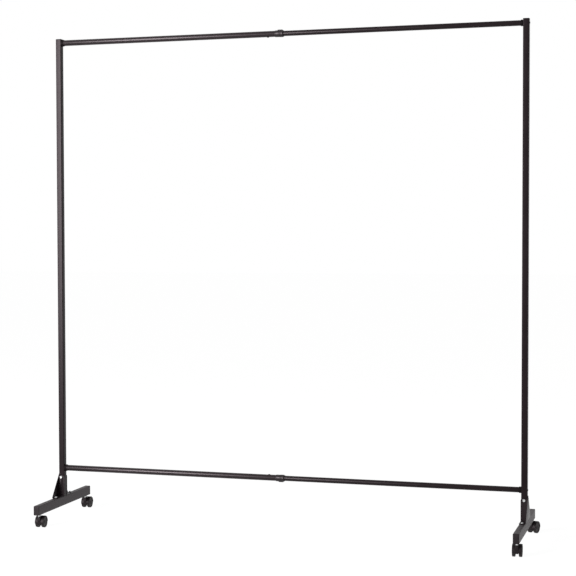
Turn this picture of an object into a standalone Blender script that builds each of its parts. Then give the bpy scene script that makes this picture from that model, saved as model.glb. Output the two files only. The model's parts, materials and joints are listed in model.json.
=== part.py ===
"""Expandable room divider frame on casters, in metres.

X runs along the width, +Y to the rear and +Z up. The origin is on the floor, midway between
the posts. The left half carries the outer tubes. The right half carries the inner tubes, which
slide in them along X. Each half stands on a foot with two swivelling twin-wheel casters.
"""

import math

import bmesh
import bpy
from mathutils import Matrix, Vector

for old_object in list(bpy.data.objects):
    bpy.data.objects.remove(old_object, do_unlink=True)

# Driving sizes of the whole frame
POST_SPACING = 2.020  # between the post axes, as pictured
BAR_SPACING = 1.856  # between the axes of the two bars
BAR_ABOVE_FOOT = 0.124  # lower bar's axis over the foot's top
POST_ABOVE_BAR = 0.014  # post tube's end over the upper bar's axis
FOOT_LENGTH = 0.520  # with both end caps
CASTER_HEIGHT = 0.0585  # floor to the foot's underside

# Clearances and overruns
SEAT_GAP = 0.0003  # between pieces that seat on each other
FIT_GAP = 0.0003  # round a shaft, bolt, tube or plug in its hole
OVERRUN = 0.002  # how far a cutter runs past what it cuts

# Post, a square tube
POST_SIDE = 0.025
POST_WALL = 0.0015
POST_CORNER = 0.003
POST_CAP_HEAD = 0.003
POST_CAP_PLUG = 0.010

# Foot, a rectangular tube along Y
FOOT_WIDTH = 0.025
FOOT_HEIGHT = 0.040
FOOT_WALL = 0.0015
FOOT_CORNER = 0.003
FOOT_CAP_HEAD = 0.005
FOOT_CAP_PLUG = 0.012
CAP_WALL = 0.002
CAP_EDGE = 0.0012  # rounding of a cap's outer edge

# Telescoping bars, one near the top of the posts and one near the foot
OUTER_TUBE_DIAMETER = 0.025
TUBE_WALL = 0.0012
OUTER_TUBE_END = 0.001  # X where the outer tubes stop, inside the collars
TUBE_OVERLAP = 0.150  # inner tube inside the outer one, as pictured
TUBE_PLUG_HEAD = 0.002
TUBE_PLUG_SHANK = 0.012

# Moulded socket at each bar end, and the screw that holds it through the post
SOCKET_BASE = 0.003
SOCKET_RING_WALL = 0.0016
SOCKET_EDGE = 0.0007
SOCKET_RING_LENGTH = 0.006
SOCKET_SPIGOT = 0.020
SCREW_DIAMETER = 0.004
SCREW_HEAD_DIAMETER = 0.009
SCREW_HEAD_HEIGHT = 0.0018
SCREW_IN_SPIGOT = 0.012

# Locking collar at the outer tube's end
COLLAR_WALL = 0.0012
COLLAR_ON_TUBE = 0.028  # reach back over the outer tube
COLLAR_NOSE = 0.009  # reach forward over the inner tube
COLLAR_BAND = 0.0005  # rise of the grip band
COLLAR_BAND_BACK = 0.009  # band's reach behind the tube's end
COLLAR_BAND_FRONT = 0.005  # band's reach past the tube's end
COLLAR_EDGE = 0.0008
COLLAR_NOSE_WALL = 0.0012
COLLAR_PAD_LENGTH = 0.022
COLLAR_PAD_WIDTH = 0.008
COLLAR_PAD_RISE = 0.0018
COLLAR_PAD_CORNER = 0.003
COLLAR_PAD_ROOT_SHARE = 0.25  # of the sleeve's wall under the pad's root
COLLAR_PAD_SHOULDER_SHARE = 0.35  # of the pad's rise where its upright side ends
COLLAR_MARK_DIAMETER = 0.004
COLLAR_MARK_DEPTH = 0.0006

# Stop button on the side of the outer tube that faces the other bar
BUTTON_FROM_END = 0.060
BUTTON_DIAMETER = 0.009
BUTTON_RISE = 0.002
BUTTON_SHANK = 0.004
BUTTON_SHANK_DEPTH = 0.001

# Shape of the domed heads of screws and buttons
DOME_TOP_SHARE = 0.45  # of the radius, flat on top
DOME_SHOULDER_SHARE = 0.8  # of the radius at the shoulder
DOME_SHOULDER_RISE_SHARE = 0.6  # of the rise at the shoulder

# Bracket of bent and welded sheet that joins the post to the foot
SHEET = 0.002
SHEET_BEND = 0.0015  # inside radius of the bend along the foot
BRACKET_BELOW_BAR = 0.0225  # bracket's top under the lower bar's axis
BRACKET_TOP_REACH = 0.0045  # half the plate's length at its top
BRACKET_FOOT_REACH = 0.080  # half the plate's length on the foot
BRACKET_CORNER = 0.006
FLANGE_PAST_POST = 0.0012
FLANGE_MARGIN = 0.0003  # of the plate past the flange's face, where the flange ends
EAR_MARGIN = 0.001  # of the flange round the bolt's washer
EAR_CORNER = 0.003
POST_BOLT_BELOW_TOP = 0.0173  # bolt's axis under the bracket's top
FOOT_BOLT_REACH = 0.073  # bolt's axis from the post's axis

# Bolts of the bracket
BOLT_DIAMETER = 0.006
BOLT_HEX = 0.010
BOLT_HEAD = 0.004
WASHER_DIAMETER = 0.012
WASHER = 0.0012
NUT = 0.005
BOLT_PAST_NUT = 0.0015
FOOT_BOLT_SHANK = 0.014
HEX_EDGE = 0.0007

# Casters
STEM_INSET = 0.028  # stem's axis from the foot's end
TRAIL = 0.022  # axle's axis behind the stem's axis
WHEEL_DIAMETER = 0.0475
WHEEL_WIDTH = 0.0123
WHEEL_EDGE = 0.0014
WHEEL_RIM = 0.004
WHEEL_DISH = 0.0018
WHEEL_HUB_DIAMETER = 0.015
WHEEL_RUN_GAP = 0.0006  # between a wheel and the caster's web
WHEEL_BLIND = 0.0030  # wall left outside the axle's bore
AXLE_DIAMETER = 0.006
WEB = 0.0128  # caster's middle wall, between its wheels
WEB_HUB_DIAMETER = 0.017
FENDER_GAP = 0.0009
FENDER_WALL = 0.0016
BOSS_DIAMETER = 0.016
BOSS_DEPTH = 0.003
HUMP_WALL = 0.0021  # ahead of the pin, in the web's forward hump
HUMP_UNDER_BOSS = 0.0009
HUMP_DEPTH = 0.017
HUMP_CORNER = 0.003
STEM_DIAMETER = 0.010
STEM_IN_FOOT = 0.018
STEM_HEX = 0.014
STEM_HEX_HEIGHT = 0.0035
STEM_NECK = 0.0055
PIN_DIAMETER = 0.008
PIN_DEPTH = 0.0135
PIN_BORE_DEPTH = 0.015
STEM_EDGE = 0.001

# Numbers of sides
TUBE_SIDES = 28
COLLAR_SIDES = 24
SOCKET_SIDES = 20
PLUG_SIDES = 16
WHEEL_SIDES = 24
BOLT_SIDES = 12
HOLE_SIDES = 12
BOSS_SIDES = 12
CORNER_STEPS = 2
FENDER_STEPS = 10
WEB_STEPS = 6
HUB_STEPS = 4

# Angles in degrees: how each caster stands, and where its fender starts and stops
CASTER_TURN = {"left_front": 4.0, "left_rear": 2.0, "right_front": 2.5, "right_rear": -18.0}
FENDER_START = -4.0
FENDER_STOP = 190.0
WEB_START = -21.0
WEB_APEX = 90.0
WEB_FRONT = 186.0
WEB_STOP = 201.0
HUB_START = 215.0
HUB_STOP = 325.0
SMOOTH_LIMIT = 35.0

# Places that follow from the sizes
FOOT_TOP = CASTER_HEIGHT + FOOT_HEIGHT
LOWER_BAR_Z = FOOT_TOP + BAR_ABOVE_FOOT
UPPER_BAR_Z = LOWER_BAR_Z + BAR_SPACING
POST_TOP = UPPER_BAR_Z + POST_ABOVE_BAR
BRACKET_BOTTOM = FOOT_TOP + SEAT_GAP
BRACKET_TOP = LOWER_BAR_Z - BRACKET_BELOW_BAR
POST_BOLT_Z = BRACKET_TOP - POST_BOLT_BELOW_TOP
STEM_Y = FOOT_LENGTH / 2 - STEM_INSET
OUTER_TUBE_RADIUS = OUTER_TUBE_DIAMETER / 2
OUTER_BORE_RADIUS = OUTER_TUBE_RADIUS - TUBE_WALL
INNER_TUBE_RADIUS = OUTER_BORE_RADIUS - FIT_GAP
INNER_BORE_RADIUS = INNER_TUBE_RADIUS - TUBE_WALL
INNER_TUBE_START = OUTER_TUBE_END - TUBE_OVERLAP
WHEEL_RADIUS = WHEEL_DIAMETER / 2
AXLE_Z = WHEEL_RADIUS * math.cos(math.pi / WHEEL_SIDES)  # the wheels stand on a flat side
FLANGE_FACE = POST_SIDE / 2 + SEAT_GAP + SHEET

# Finishes: colour, roughness and metallic value
PAINT = ((0.022, 0.020, 0.022), 0.42, 0.0)
CAP_PLASTIC = ((0.012, 0.012, 0.013), 0.50, 0.0)
CASTER_PLASTIC = ((0.016, 0.016, 0.017), 0.40, 0.0)
WHEEL_PLASTIC = ((0.020, 0.020, 0.021), 0.48, 0.0)
ZINC = ((0.62, 0.62, 0.60), 0.32, 1.0)

SIDES = {"left": -1, "right": 1}
ENDS = {"front": -1, "rear": 1}


# Sections, as lists of flat points

def circle(radius, count):
    """Return a polygon with a flat side at each quarter turn."""
    step = math.tau / count
    return [
        (radius * math.cos((k + 0.5) * step), radius * math.sin((k + 0.5) * step))
        for k in range(count)
    ]


def arc(radius, start, stop, steps):
    """Return points from one angle to another, in degrees."""
    angles = [math.radians(start + (stop - start) * k / steps) for k in range(steps + 1)]
    return [(radius * math.cos(a), radius * math.sin(a)) for a in angles]


def hexagon(across_flats, count):
    """Return a hexagon, with as many points as a circle has and two flats square to v."""
    points = []
    for k in range(count):
        angle = math.tau * k / count
        radius = across_flats / 2 / math.cos(angle % (math.pi / 3) - math.pi / 6)
        points.append((radius * math.cos(angle), radius * math.sin(angle)))
    return points


def rounded(corners, radii, steps):
    """Return the outline of a polygon whose corners have the given radii."""
    points = []
    for k, corner in enumerate(corners):
        here = Vector(corner)
        if not radii[k]:
            points.append(corner)
            continue
        before = (Vector(corners[k - 1]) - here).normalized()
        after = (Vector(corners[(k + 1) % len(corners)]) - here).normalized()
        half = before.angle(after) / 2
        radius = radii[k]
        centre = here + (before + after).normalized() * (radius / math.sin(half))
        start = here + before * (radius / math.tan(half)) - centre
        stop = here + after * (radius / math.tan(half)) - centre
        turn = start.angle_signed(stop)
        for n in range(steps + 1):
            spoke = Matrix.Rotation(-turn * n / steps, 2) @ start
            points.append(tuple(centre + spoke))
    return points


def rounded_rectangle(width, height, radius, steps=CORNER_STEPS):
    """Return a rectangle's outline round the origin."""
    u, v = width / 2, height / 2
    return rounded([(u, v), (-u, v), (-u, -v), (u, -v)], [radius] * 4, steps)


def across(axis, section, station, centre=(0, 0)):
    """Place a section square to an axis, at a station along it."""
    points = []
    for u, v in section:
        a, b = u + centre[0], v + centre[1]
        points.append({"X": (station, a, b), "Y": (a, station, b), "Z": (a, b, station)}[axis])
    return points


# Solids

def skin(name, rings, closed=False):
    """Make an object from rings of equally many points; a closed one is a tube's wall."""
    mesh = bpy.data.meshes.new(name)
    shell = bmesh.new()
    loops = [[shell.verts.new(point) for point in ring] for ring in rings]
    pairs = list(zip(loops, loops[1:]))
    if closed:
        pairs.append((loops[-1], loops[0]))
    else:
        shell.faces.new(loops[0])
        shell.faces.new(loops[-1])
    for first, second in pairs:
        for k in range(len(first)):
            n = (k + 1) % len(first)
            shell.faces.new((first[k], first[n], second[n], second[k]))
    bmesh.ops.recalc_face_normals(shell, faces=shell.faces)
    shell.to_mesh(mesh)
    shell.free()
    mesh.shade_smooth()
    mesh.set_sharp_from_angle(angle=math.radians(SMOOTH_LIMIT))
    made = bpy.data.objects.new(name, mesh)
    bpy.context.collection.objects.link(made)
    return made


def turned(name, axis, profile, count, centre=(0, 0), closed=False):
    """Make a turned piece from (station, radius) pairs along an axis."""
    rings = [across(axis, circle(radius, count), station, centre) for station, radius in profile]
    return skin(name, rings, closed)


def slab(name, axis, outline, start, stop, centre=(0, 0)):
    """Make a plate of one outline between two stations."""
    return skin(name, [across(axis, outline, start, centre), across(axis, outline, stop, centre)])


def combine(body, tool, operation):
    """Cut a tool out of a body, or join it to the body; the tool itself is only a guide."""
    modifier = body.modifiers.new(tool.name, "BOOLEAN")
    modifier.operation = operation
    modifier.solver = "EXACT"
    modifier.object = tool
    tool.hide_render = True
    tool.display_type = "WIRE"
    tool.parent = body.parent
    tool.location = body.location


def finish(body, look, parent=None, place=(0, 0, 0)):
    """Give a piece its material, its parent and its place under the parent."""
    colour, roughness, metallic = look
    material = bpy.data.materials.new(body.name)
    material.use_nodes = True
    shader = material.node_tree.nodes["Principled BSDF"]
    shader.inputs["Base Color"].default_value = (*colour, 1)
    shader.inputs["Roughness"].default_value = roughness
    shader.inputs["Metallic"].default_value = metallic
    body.data.materials.append(material)
    body.parent = parent
    body.location = place
    return body


def empty(name, parent, place, turn=0):
    """Make an empty on a joint's axis."""
    made = bpy.data.objects.new(name, None)
    made.parent = parent
    made.location = place
    made.rotation_euler = (0, 0, math.radians(turn))
    bpy.context.collection.objects.link(made)
    return made


# Posts, feet and their caps

def post(side_name, half):
    """A square tube with holes for the bracket's bolt and the two bar screws."""
    outer = rounded_rectangle(POST_SIDE, POST_SIDE, POST_CORNER)
    bore = POST_SIDE - 2 * POST_WALL
    inner = rounded_rectangle(bore, bore, POST_CORNER - POST_WALL)
    bottom = FOOT_TOP + SEAT_GAP
    rings = [
        across("Z", outer, bottom),
        across("Z", outer, POST_TOP),
        across("Z", inner, POST_TOP),
        across("Z", inner, bottom),
    ]
    body = finish(skin(f"{side_name}_post", rings, closed=True), PAINT, half)
    reach = POST_SIDE / 2 + OVERRUN
    bolt_hole = BOLT_DIAMETER / 2 + FIT_GAP
    hole = turned(
        f"{side_name}_post_bolt_hole", "Y", [(-reach, bolt_hole), (reach, bolt_hole)],
        HOLE_SIDES, (0, POST_BOLT_Z),
    )
    combine(body, hole, "DIFFERENCE")
    screw_hole = SCREW_DIAMETER / 2 + FIT_GAP
    for bar_name, height in (("upper", UPPER_BAR_Z), ("lower", LOWER_BAR_Z)):
        hole = turned(
            f"{side_name}_post_{bar_name}_hole", "X", [(-reach, screw_hole), (reach, screw_hole)],
            HOLE_SIDES, (0, height),
        )
        combine(body, hole, "DIFFERENCE")


def end_cap(name, axis, size, corner, wall, head, plug, face, way, centre=(0, 0)):
    """A moulded cap with a rounded head and a hollow plug, on the tube's end at face."""
    width, height = size
    full = rounded_rectangle(width, height, corner)
    top = rounded_rectangle(width - 2 * CAP_EDGE, height - 2 * CAP_EDGE, corner - CAP_EDGE)
    slack = 2 * (wall + FIT_GAP)
    outside = rounded_rectangle(width - slack, height - slack, corner - wall)
    hollow = slack + 2 * CAP_WALL
    inside = rounded_rectangle(width - hollow, height - hollow, corner - wall)
    seat = face + way * SEAT_GAP
    tip = seat + way * head
    end = face - way * plug
    stations = [
        (top, tip),
        (full, tip - way * CAP_EDGE),
        (full, seat),
        (outside, seat),
        (outside, end),
        (inside, end),
        (inside, seat),
    ]
    return skin(name, [across(axis, outline, station, centre) for outline, station in stations])


def foot(side_name, half):
    """A rectangular tube with holes for the bracket's bolts and the caster stems."""
    outer = rounded_rectangle(FOOT_WIDTH, FOOT_HEIGHT, FOOT_CORNER)
    inner = rounded_rectangle(
        FOOT_WIDTH - 2 * FOOT_WALL, FOOT_HEIGHT - 2 * FOOT_WALL, FOOT_CORNER - FOOT_WALL
    )
    middle = (0, FOOT_TOP - FOOT_HEIGHT / 2)
    end = FOOT_LENGTH / 2 - FOOT_CAP_HEAD - SEAT_GAP
    rings = [
        across("Y", outer, -end, middle),
        across("Y", outer, end, middle),
        across("Y", inner, end, middle),
        across("Y", inner, -end, middle),
    ]
    body = finish(skin(f"{side_name}_foot", rings, closed=True), PAINT, half)
    bolt_hole = BOLT_DIAMETER / 2 + FIT_GAP
    stem_hole = STEM_DIAMETER / 2 + FIT_GAP
    for end_name, way in ENDS.items():
        above = turned(
            f"{side_name}_foot_{end_name}_bolt_hole", "Z",
            [(FOOT_TOP - FOOT_WALL - OVERRUN, bolt_hole), (FOOT_TOP + OVERRUN, bolt_hole)],
            HOLE_SIDES, (0, way * FOOT_BOLT_REACH),
        )
        combine(body, above, "DIFFERENCE")
        below = turned(
            f"{side_name}_foot_{end_name}_stem_hole", "Z",
            [(CASTER_HEIGHT - OVERRUN, stem_hole), (CASTER_HEIGHT + FOOT_WALL + OVERRUN, stem_hole)],
            HOLE_SIDES, (0, way * STEM_Y),
        )
        combine(body, below, "DIFFERENCE")
        cap = end_cap(
            f"{side_name}_foot_cap_{end_name}", "Y", (FOOT_WIDTH, FOOT_HEIGHT), FOOT_CORNER,
            FOOT_WALL, FOOT_CAP_HEAD, FOOT_CAP_PLUG, way * end, way, middle,
        )
        finish(cap, CAP_PLASTIC, half)


def post_cap(side_name, half):
    """The cap in the top of a post."""
    cap = end_cap(
        f"{side_name}_post_cap", "Z", (POST_SIDE, POST_SIDE), POST_CORNER, POST_WALL,
        POST_CAP_HEAD, POST_CAP_PLUG, POST_TOP, 1,
    )
    finish(cap, CAP_PLASTIC, half)


# Brackets and their bolts

def bracket(side_name, side, half):
    """A plate on the post's outer side, bent in over the foot, with two eared flanges."""
    name = f"{side_name}_bracket"
    bottom = BRACKET_BOTTOM
    top = BRACKET_TOP
    inner_face = side * (POST_SIDE / 2 + SEAT_GAP)
    outer_face = inner_face + side * SHEET
    tab_edge = -side * FOOT_WIDTH / 2
    tab_blank = tab_edge - side * OVERRUN
    bent = rounded(
        [
            (outer_face, top + OVERRUN),
            (inner_face, top + OVERRUN),
            (inner_face, bottom + SHEET),
            (tab_blank, bottom + SHEET),
            (tab_blank, bottom),
            (outer_face, bottom),
        ],
        [0, 0, SHEET_BEND, 0, 0, SHEET_BEND + SHEET],
        CORNER_STEPS,
    )
    reach = BRACKET_FOOT_REACH + OVERRUN
    body = finish(slab(name, "Y", bent, -reach, reach), PAINT, half)
    slope = (BRACKET_FOOT_REACH - BRACKET_TOP_REACH) / (top - bottom)
    low = bottom - OVERRUN
    low_reach = BRACKET_FOOT_REACH + slope * OVERRUN
    front_view = rounded(
        [(BRACKET_TOP_REACH, top), (-BRACKET_TOP_REACH, top), (-low_reach, low), (low_reach, low)],
        [BRACKET_CORNER, BRACKET_CORNER, 0, 0],
        CORNER_STEPS,
    )
    outside = outer_face + side * OVERRUN
    wedge = slab(f"{name}_wedge", "X", front_view, tab_blank - side * OVERRUN, outside)
    combine(body, wedge, "INTERSECT")
    plan = rounded(
        [(tab_edge, reach), (tab_edge, -reach), (outside, -reach), (outside, reach)],
        [BRACKET_CORNER, BRACKET_CORNER, 0, 0],
        CORNER_STEPS,
    )
    combine(body, slab(f"{name}_plan", "Z", plan, low, top + OVERRUN), "INTERSECT")
    near = POST_SIDE / 2 + SEAT_GAP
    notch = [(inner_face, near), (tab_blank, near), (tab_blank, -near), (inner_face, -near)]
    notch_top = bottom + SHEET + SHEET_BEND + OVERRUN
    combine(body, slab(f"{name}_notch", "Z", notch, low, notch_top), "DIFFERENCE")
    root = (inner_face + outer_face) / 2
    free_edge = -side * (POST_SIDE / 2 + FLANGE_PAST_POST)
    flange_top = top - (FLANGE_FACE + FLANGE_MARGIN - BRACKET_TOP_REACH) / slope
    ear = WASHER_DIAMETER / 2 + EAR_MARGIN
    ear_top = POST_BOLT_Z + ear
    flange_outline = rounded(
        [
            (root, flange_top),
            (inner_face, flange_top),
            (side * ear, ear_top),
            (free_edge, ear_top),
            (free_edge, bottom),
            (root, bottom),
        ],
        [0, 0, EAR_CORNER, BRACKET_CORNER, 0, 0],
        CORNER_STEPS,
    )
    bolt_hole = BOLT_DIAMETER / 2 + FIT_GAP
    for end_name, way in ENDS.items():
        flange = slab(
            f"{name}_{end_name}_flange", "Y", flange_outline, way * near, way * FLANGE_FACE
        )
        combine(body, flange, "UNION")
        hole = turned(
            f"{name}_{end_name}_hole", "Z",
            [(low, bolt_hole), (bottom + SHEET + OVERRUN, bolt_hole)],
            HOLE_SIDES, (0, way * FOOT_BOLT_REACH),
        )
        combine(body, hole, "DIFFERENCE")
    through = FLANGE_FACE + OVERRUN
    cross_hole = turned(
        f"{name}_bolt_hole", "Y", [(-through, bolt_hole), (through, bolt_hole)],
        HOLE_SIDES, (0, POST_BOLT_Z),
    )
    combine(body, cross_hole, "DIFFERENCE")


def hex_bolt(name, axis, face, way, shank, centre):
    """A hexagon bolt with its washer under the head, which stands out of face the given way."""
    seat = face + way * SEAT_GAP
    head = seat + way * WASHER
    top = head + way * BOLT_HEAD
    hexagonal = hexagon(BOLT_HEX, BOLT_SIDES)
    stations = [
        (hexagon(BOLT_HEX - 2 * HEX_EDGE, BOLT_SIDES), top),
        (hexagonal, top - way * HEX_EDGE),
        (hexagonal, head),
        (circle(WASHER_DIAMETER / 2, BOLT_SIDES), head),
        (circle(WASHER_DIAMETER / 2, BOLT_SIDES), seat),
        (circle(BOLT_DIAMETER / 2, BOLT_SIDES), seat),
        (circle(BOLT_DIAMETER / 2, BOLT_SIDES), seat - way * shank),
    ]
    return skin(name, [across(axis, section, station, centre) for section, station in stations])


def bracket_bolts(side_name, half):
    """The bolt through the post with its nut, and the two bolts into the foot."""
    centre = (0, POST_BOLT_Z)
    nut_near = FLANGE_FACE + SEAT_GAP
    nut_far = nut_near + NUT
    shank = FLANGE_FACE + SEAT_GAP + nut_far + BOLT_PAST_NUT
    bolt = hex_bolt(f"{side_name}_post_bolt", "Y", -FLANGE_FACE, -1, shank, centre)
    finish(bolt, ZINC, half)
    bore = circle(BOLT_DIAMETER / 2 + FIT_GAP, BOLT_SIDES)
    rings = [
        across("Y", hexagon(BOLT_HEX, BOLT_SIDES), nut_near, centre),
        across("Y", hexagon(BOLT_HEX, BOLT_SIDES), nut_far, centre),
        across("Y", bore, nut_far, centre),
        across("Y", bore, nut_near, centre),
    ]
    finish(skin(f"{side_name}_post_nut", rings, closed=True), ZINC, half)
    for end_name, way in ENDS.items():
        bolt = hex_bolt(
            f"{side_name}_foot_bolt_{end_name}", "Z", FOOT_TOP + SEAT_GAP + SHEET, 1,
            FOOT_BOLT_SHANK, (0, way * FOOT_BOLT_REACH),
        )
        finish(bolt, ZINC, half)


# Telescoping bars

def domed(seat, way, radius, rise):
    """Return the profile of a domed head that stands on its seat."""
    return [
        (seat + way * rise, radius * DOME_TOP_SHARE),
        (seat + way * rise * DOME_SHOULDER_RISE_SHARE, radius * DOME_SHOULDER_SHARE),
        (seat, radius),
    ]


def socket(name, side, tube_radius, bore_radius, half, height):
    """The moulded cup between a post and a bar, with the spigot that fills the bar's end."""
    way = -side
    face = side * -POST_SIDE / 2 + way * SEAT_GAP
    cup = tube_radius + FIT_GAP
    outside = cup + SOCKET_RING_WALL
    floor = face + way * SOCKET_BASE
    mouth = floor + way * SOCKET_RING_LENGTH
    spigot = bore_radius - FIT_GAP
    pilot = SCREW_DIAMETER / 2 + FIT_GAP
    tip = floor + way * SOCKET_SPIGOT
    profile = [
        (face, outside),
        (mouth - way * SOCKET_EDGE, outside),
        (mouth, outside - SOCKET_EDGE),
        (mouth, cup),
        (floor, cup),
        (floor, spigot),
        (tip, spigot),
        (tip, pilot),
        (face, pilot),
    ]
    finish(turned(name, "X", profile, SOCKET_SIDES, closed=True), CAP_PLASTIC, half, (0, 0, height))
    return floor + way * SEAT_GAP


def bar_screw(name, side, half, height):
    """The screw that runs through a post into the socket's spigot."""
    head = side * (POST_SIDE / 2 + SEAT_GAP)
    tip = -side * (POST_SIDE / 2 + SEAT_GAP + SOCKET_BASE + SCREW_IN_SPIGOT)
    profile = domed(head, side, SCREW_HEAD_DIAMETER / 2, SCREW_HEAD_HEIGHT)
    profile += [(head, SCREW_DIAMETER / 2), (tip, SCREW_DIAMETER / 2)]
    finish(turned(name, "X", profile, HOLE_SIDES), PAINT, half, (0, 0, height))


def stop_button(bar_name, toward, height, tube, half):
    """The domed button in the outer tube's wall, and the hole that it fills."""
    centre = (POST_SPACING / 2 + OUTER_TUBE_END - BUTTON_FROM_END, 0)
    seat = toward * (OUTER_TUBE_RADIUS + SEAT_GAP)
    shank_end = toward * (OUTER_TUBE_RADIUS - BUTTON_SHANK_DEPTH)
    profile = domed(seat, toward, BUTTON_DIAMETER / 2, BUTTON_RISE)
    profile += [(seat, BUTTON_SHANK / 2), (shank_end, BUTTON_SHANK / 2)]
    button = turned(f"{bar_name}_stop_button", "Z", profile, HOLE_SIDES, centre)
    finish(button, PAINT, half, (0, 0, height))
    hole_radius = BUTTON_SHANK / 2 + FIT_GAP
    inside = toward * (OUTER_BORE_RADIUS - OVERRUN)
    outside = toward * (OUTER_TUBE_RADIUS + OVERRUN)
    hole = turned(
        f"{bar_name}_stop_hole", "Z", [(inside, hole_radius), (outside, hole_radius)],
        HOLE_SIDES, centre,
    )
    combine(tube, hole, "DIFFERENCE")


def collar(bar_name, outward, height):
    """The twist collar: a sleeve on the outer tube, a nose on the inner one and a thumb pad."""
    bore = OUTER_TUBE_RADIUS + FIT_GAP
    sleeve = bore + COLLAR_WALL
    band = sleeve + COLLAR_BAND
    nose_bore = INNER_TUBE_RADIUS + FIT_GAP
    nose = nose_bore + COLLAR_NOSE_WALL
    back = OUTER_TUBE_END - COLLAR_ON_TUBE
    front = OUTER_TUBE_END + COLLAR_NOSE
    step = OUTER_TUBE_END + SEAT_GAP
    band_back = OUTER_TUBE_END - COLLAR_BAND_BACK
    band_front = OUTER_TUBE_END + COLLAR_BAND_FRONT
    profile = [
        (back, sleeve - COLLAR_EDGE),
        (back + COLLAR_EDGE, sleeve),
        (band_back - COLLAR_BAND, sleeve),
        (band_back, band),
        (band_front, band),
        (front, nose),
        (front, nose_bore),
        (step, nose_bore),
        (step, bore),
        (back, bore),
    ]
    piece = turned(f"{bar_name}_collar", "X", profile, COLLAR_SIDES, closed=True)
    finish(piece, CAP_PLASTIC, None, (0, 0, height))
    pad_outline = rounded_rectangle(COLLAR_PAD_LENGTH, COLLAR_PAD_WIDTH, COLLAR_PAD_CORNER)
    pad_top = rounded_rectangle(
        COLLAR_PAD_LENGTH - 2 * COLLAR_PAD_RISE, COLLAR_PAD_WIDTH - 2 * COLLAR_EDGE,
        COLLAR_PAD_CORNER - COLLAR_EDGE,
    )
    pad_centre = (band_front - COLLAR_PAD_LENGTH / 2, 0)
    root = outward * (bore + COLLAR_WALL * COLLAR_PAD_ROOT_SHARE)
    shoulder = outward * (band + COLLAR_PAD_RISE * COLLAR_PAD_SHOULDER_SHARE)
    crest = outward * (band + COLLAR_PAD_RISE)
    rings = [
        across("Z", pad_outline, root, pad_centre),
        across("Z", pad_outline, shoulder, pad_centre),
        across("Z", pad_top, crest, pad_centre),
    ]
    combine(piece, skin(f"{bar_name}_collar_pad", rings), "UNION")
    mark_radius = COLLAR_MARK_DIAMETER / 2
    mark = turned(
        f"{bar_name}_collar_mark", "Y",
        [(-band - OVERRUN, mark_radius), (-band + COLLAR_MARK_DEPTH, mark_radius)],
        HOLE_SIDES, ((band_back + band_front) / 2, 0),
    )
    combine(piece, mark, "DIFFERENCE")


def bar(bar_name, height, outward, left, right):
    """One telescoping bar with its sockets, screws, collar and stop button."""
    half_span = POST_SPACING / 2
    start = socket(
        f"{bar_name}_socket_left", -1, OUTER_TUBE_RADIUS, OUTER_BORE_RADIUS, left, height
    )
    profile = [
        (start, OUTER_TUBE_RADIUS),
        (OUTER_TUBE_END + half_span, OUTER_TUBE_RADIUS),
        (OUTER_TUBE_END + half_span, OUTER_BORE_RADIUS),
        (start, OUTER_BORE_RADIUS),
    ]
    outer = turned(f"{bar_name}_outer_tube", "X", profile, TUBE_SIDES, closed=True)
    finish(outer, PAINT, left, (0, 0, height))
    end = socket(
        f"{bar_name}_socket_right", 1, INNER_TUBE_RADIUS, INNER_BORE_RADIUS, right, height
    )
    inner_start = INNER_TUBE_START - half_span
    profile = [
        (inner_start, INNER_TUBE_RADIUS),
        (end, INNER_TUBE_RADIUS),
        (end, INNER_BORE_RADIUS),
        (inner_start, INNER_BORE_RADIUS),
    ]
    inner = turned(f"{bar_name}_inner_tube", "X", profile, TUBE_SIDES, closed=True)
    finish(inner, PAINT, right, (0, 0, height))
    seat = inner_start - SEAT_GAP
    profile = [
        (seat - TUBE_PLUG_HEAD, INNER_BORE_RADIUS),
        (seat, INNER_TUBE_RADIUS),
        (seat, INNER_BORE_RADIUS - FIT_GAP),
        (seat + TUBE_PLUG_SHANK, INNER_BORE_RADIUS - FIT_GAP),
    ]
    plug = turned(f"{bar_name}_inner_plug", "X", profile, PLUG_SIDES)
    finish(plug, CAP_PLASTIC, right, (0, 0, height))
    for side_name, side in SIDES.items():
        bar_screw(f"{bar_name}_screw_{side_name}", side, {-1: left, 1: right}[side], height)
    collar(bar_name, outward, height)
    return outer


# Casters

def caster_stem(name, half, y):
    """The zinc stem: thread in the foot, hexagon under it, neck and pin."""
    under = CASTER_HEIGHT - SEAT_GAP
    hex_bottom = under - STEM_HEX_HEIGHT
    neck_bottom = hex_bottom - STEM_NECK
    pin = circle(PIN_DIAMETER / 2, BOLT_SIDES)
    shaft = circle(STEM_DIAMETER / 2, BOLT_SIDES)
    stations = [
        (circle(STEM_DIAMETER / 2 - STEM_EDGE, BOLT_SIDES), CASTER_HEIGHT + STEM_IN_FOOT),
        (shaft, CASTER_HEIGHT + STEM_IN_FOOT - STEM_EDGE),
        (shaft, under),
        (hexagon(STEM_HEX, BOLT_SIDES), under),
        (hexagon(STEM_HEX, BOLT_SIDES), hex_bottom),
        (shaft, hex_bottom),
        (shaft, neck_bottom),
        (pin, neck_bottom),
        (pin, neck_bottom - PIN_DEPTH),
    ]
    rings = [across("Z", section, station) for section, station in stations]
    finish(skin(name, rings), ZINC, half, (0, y, 0))
    return neck_bottom


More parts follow.
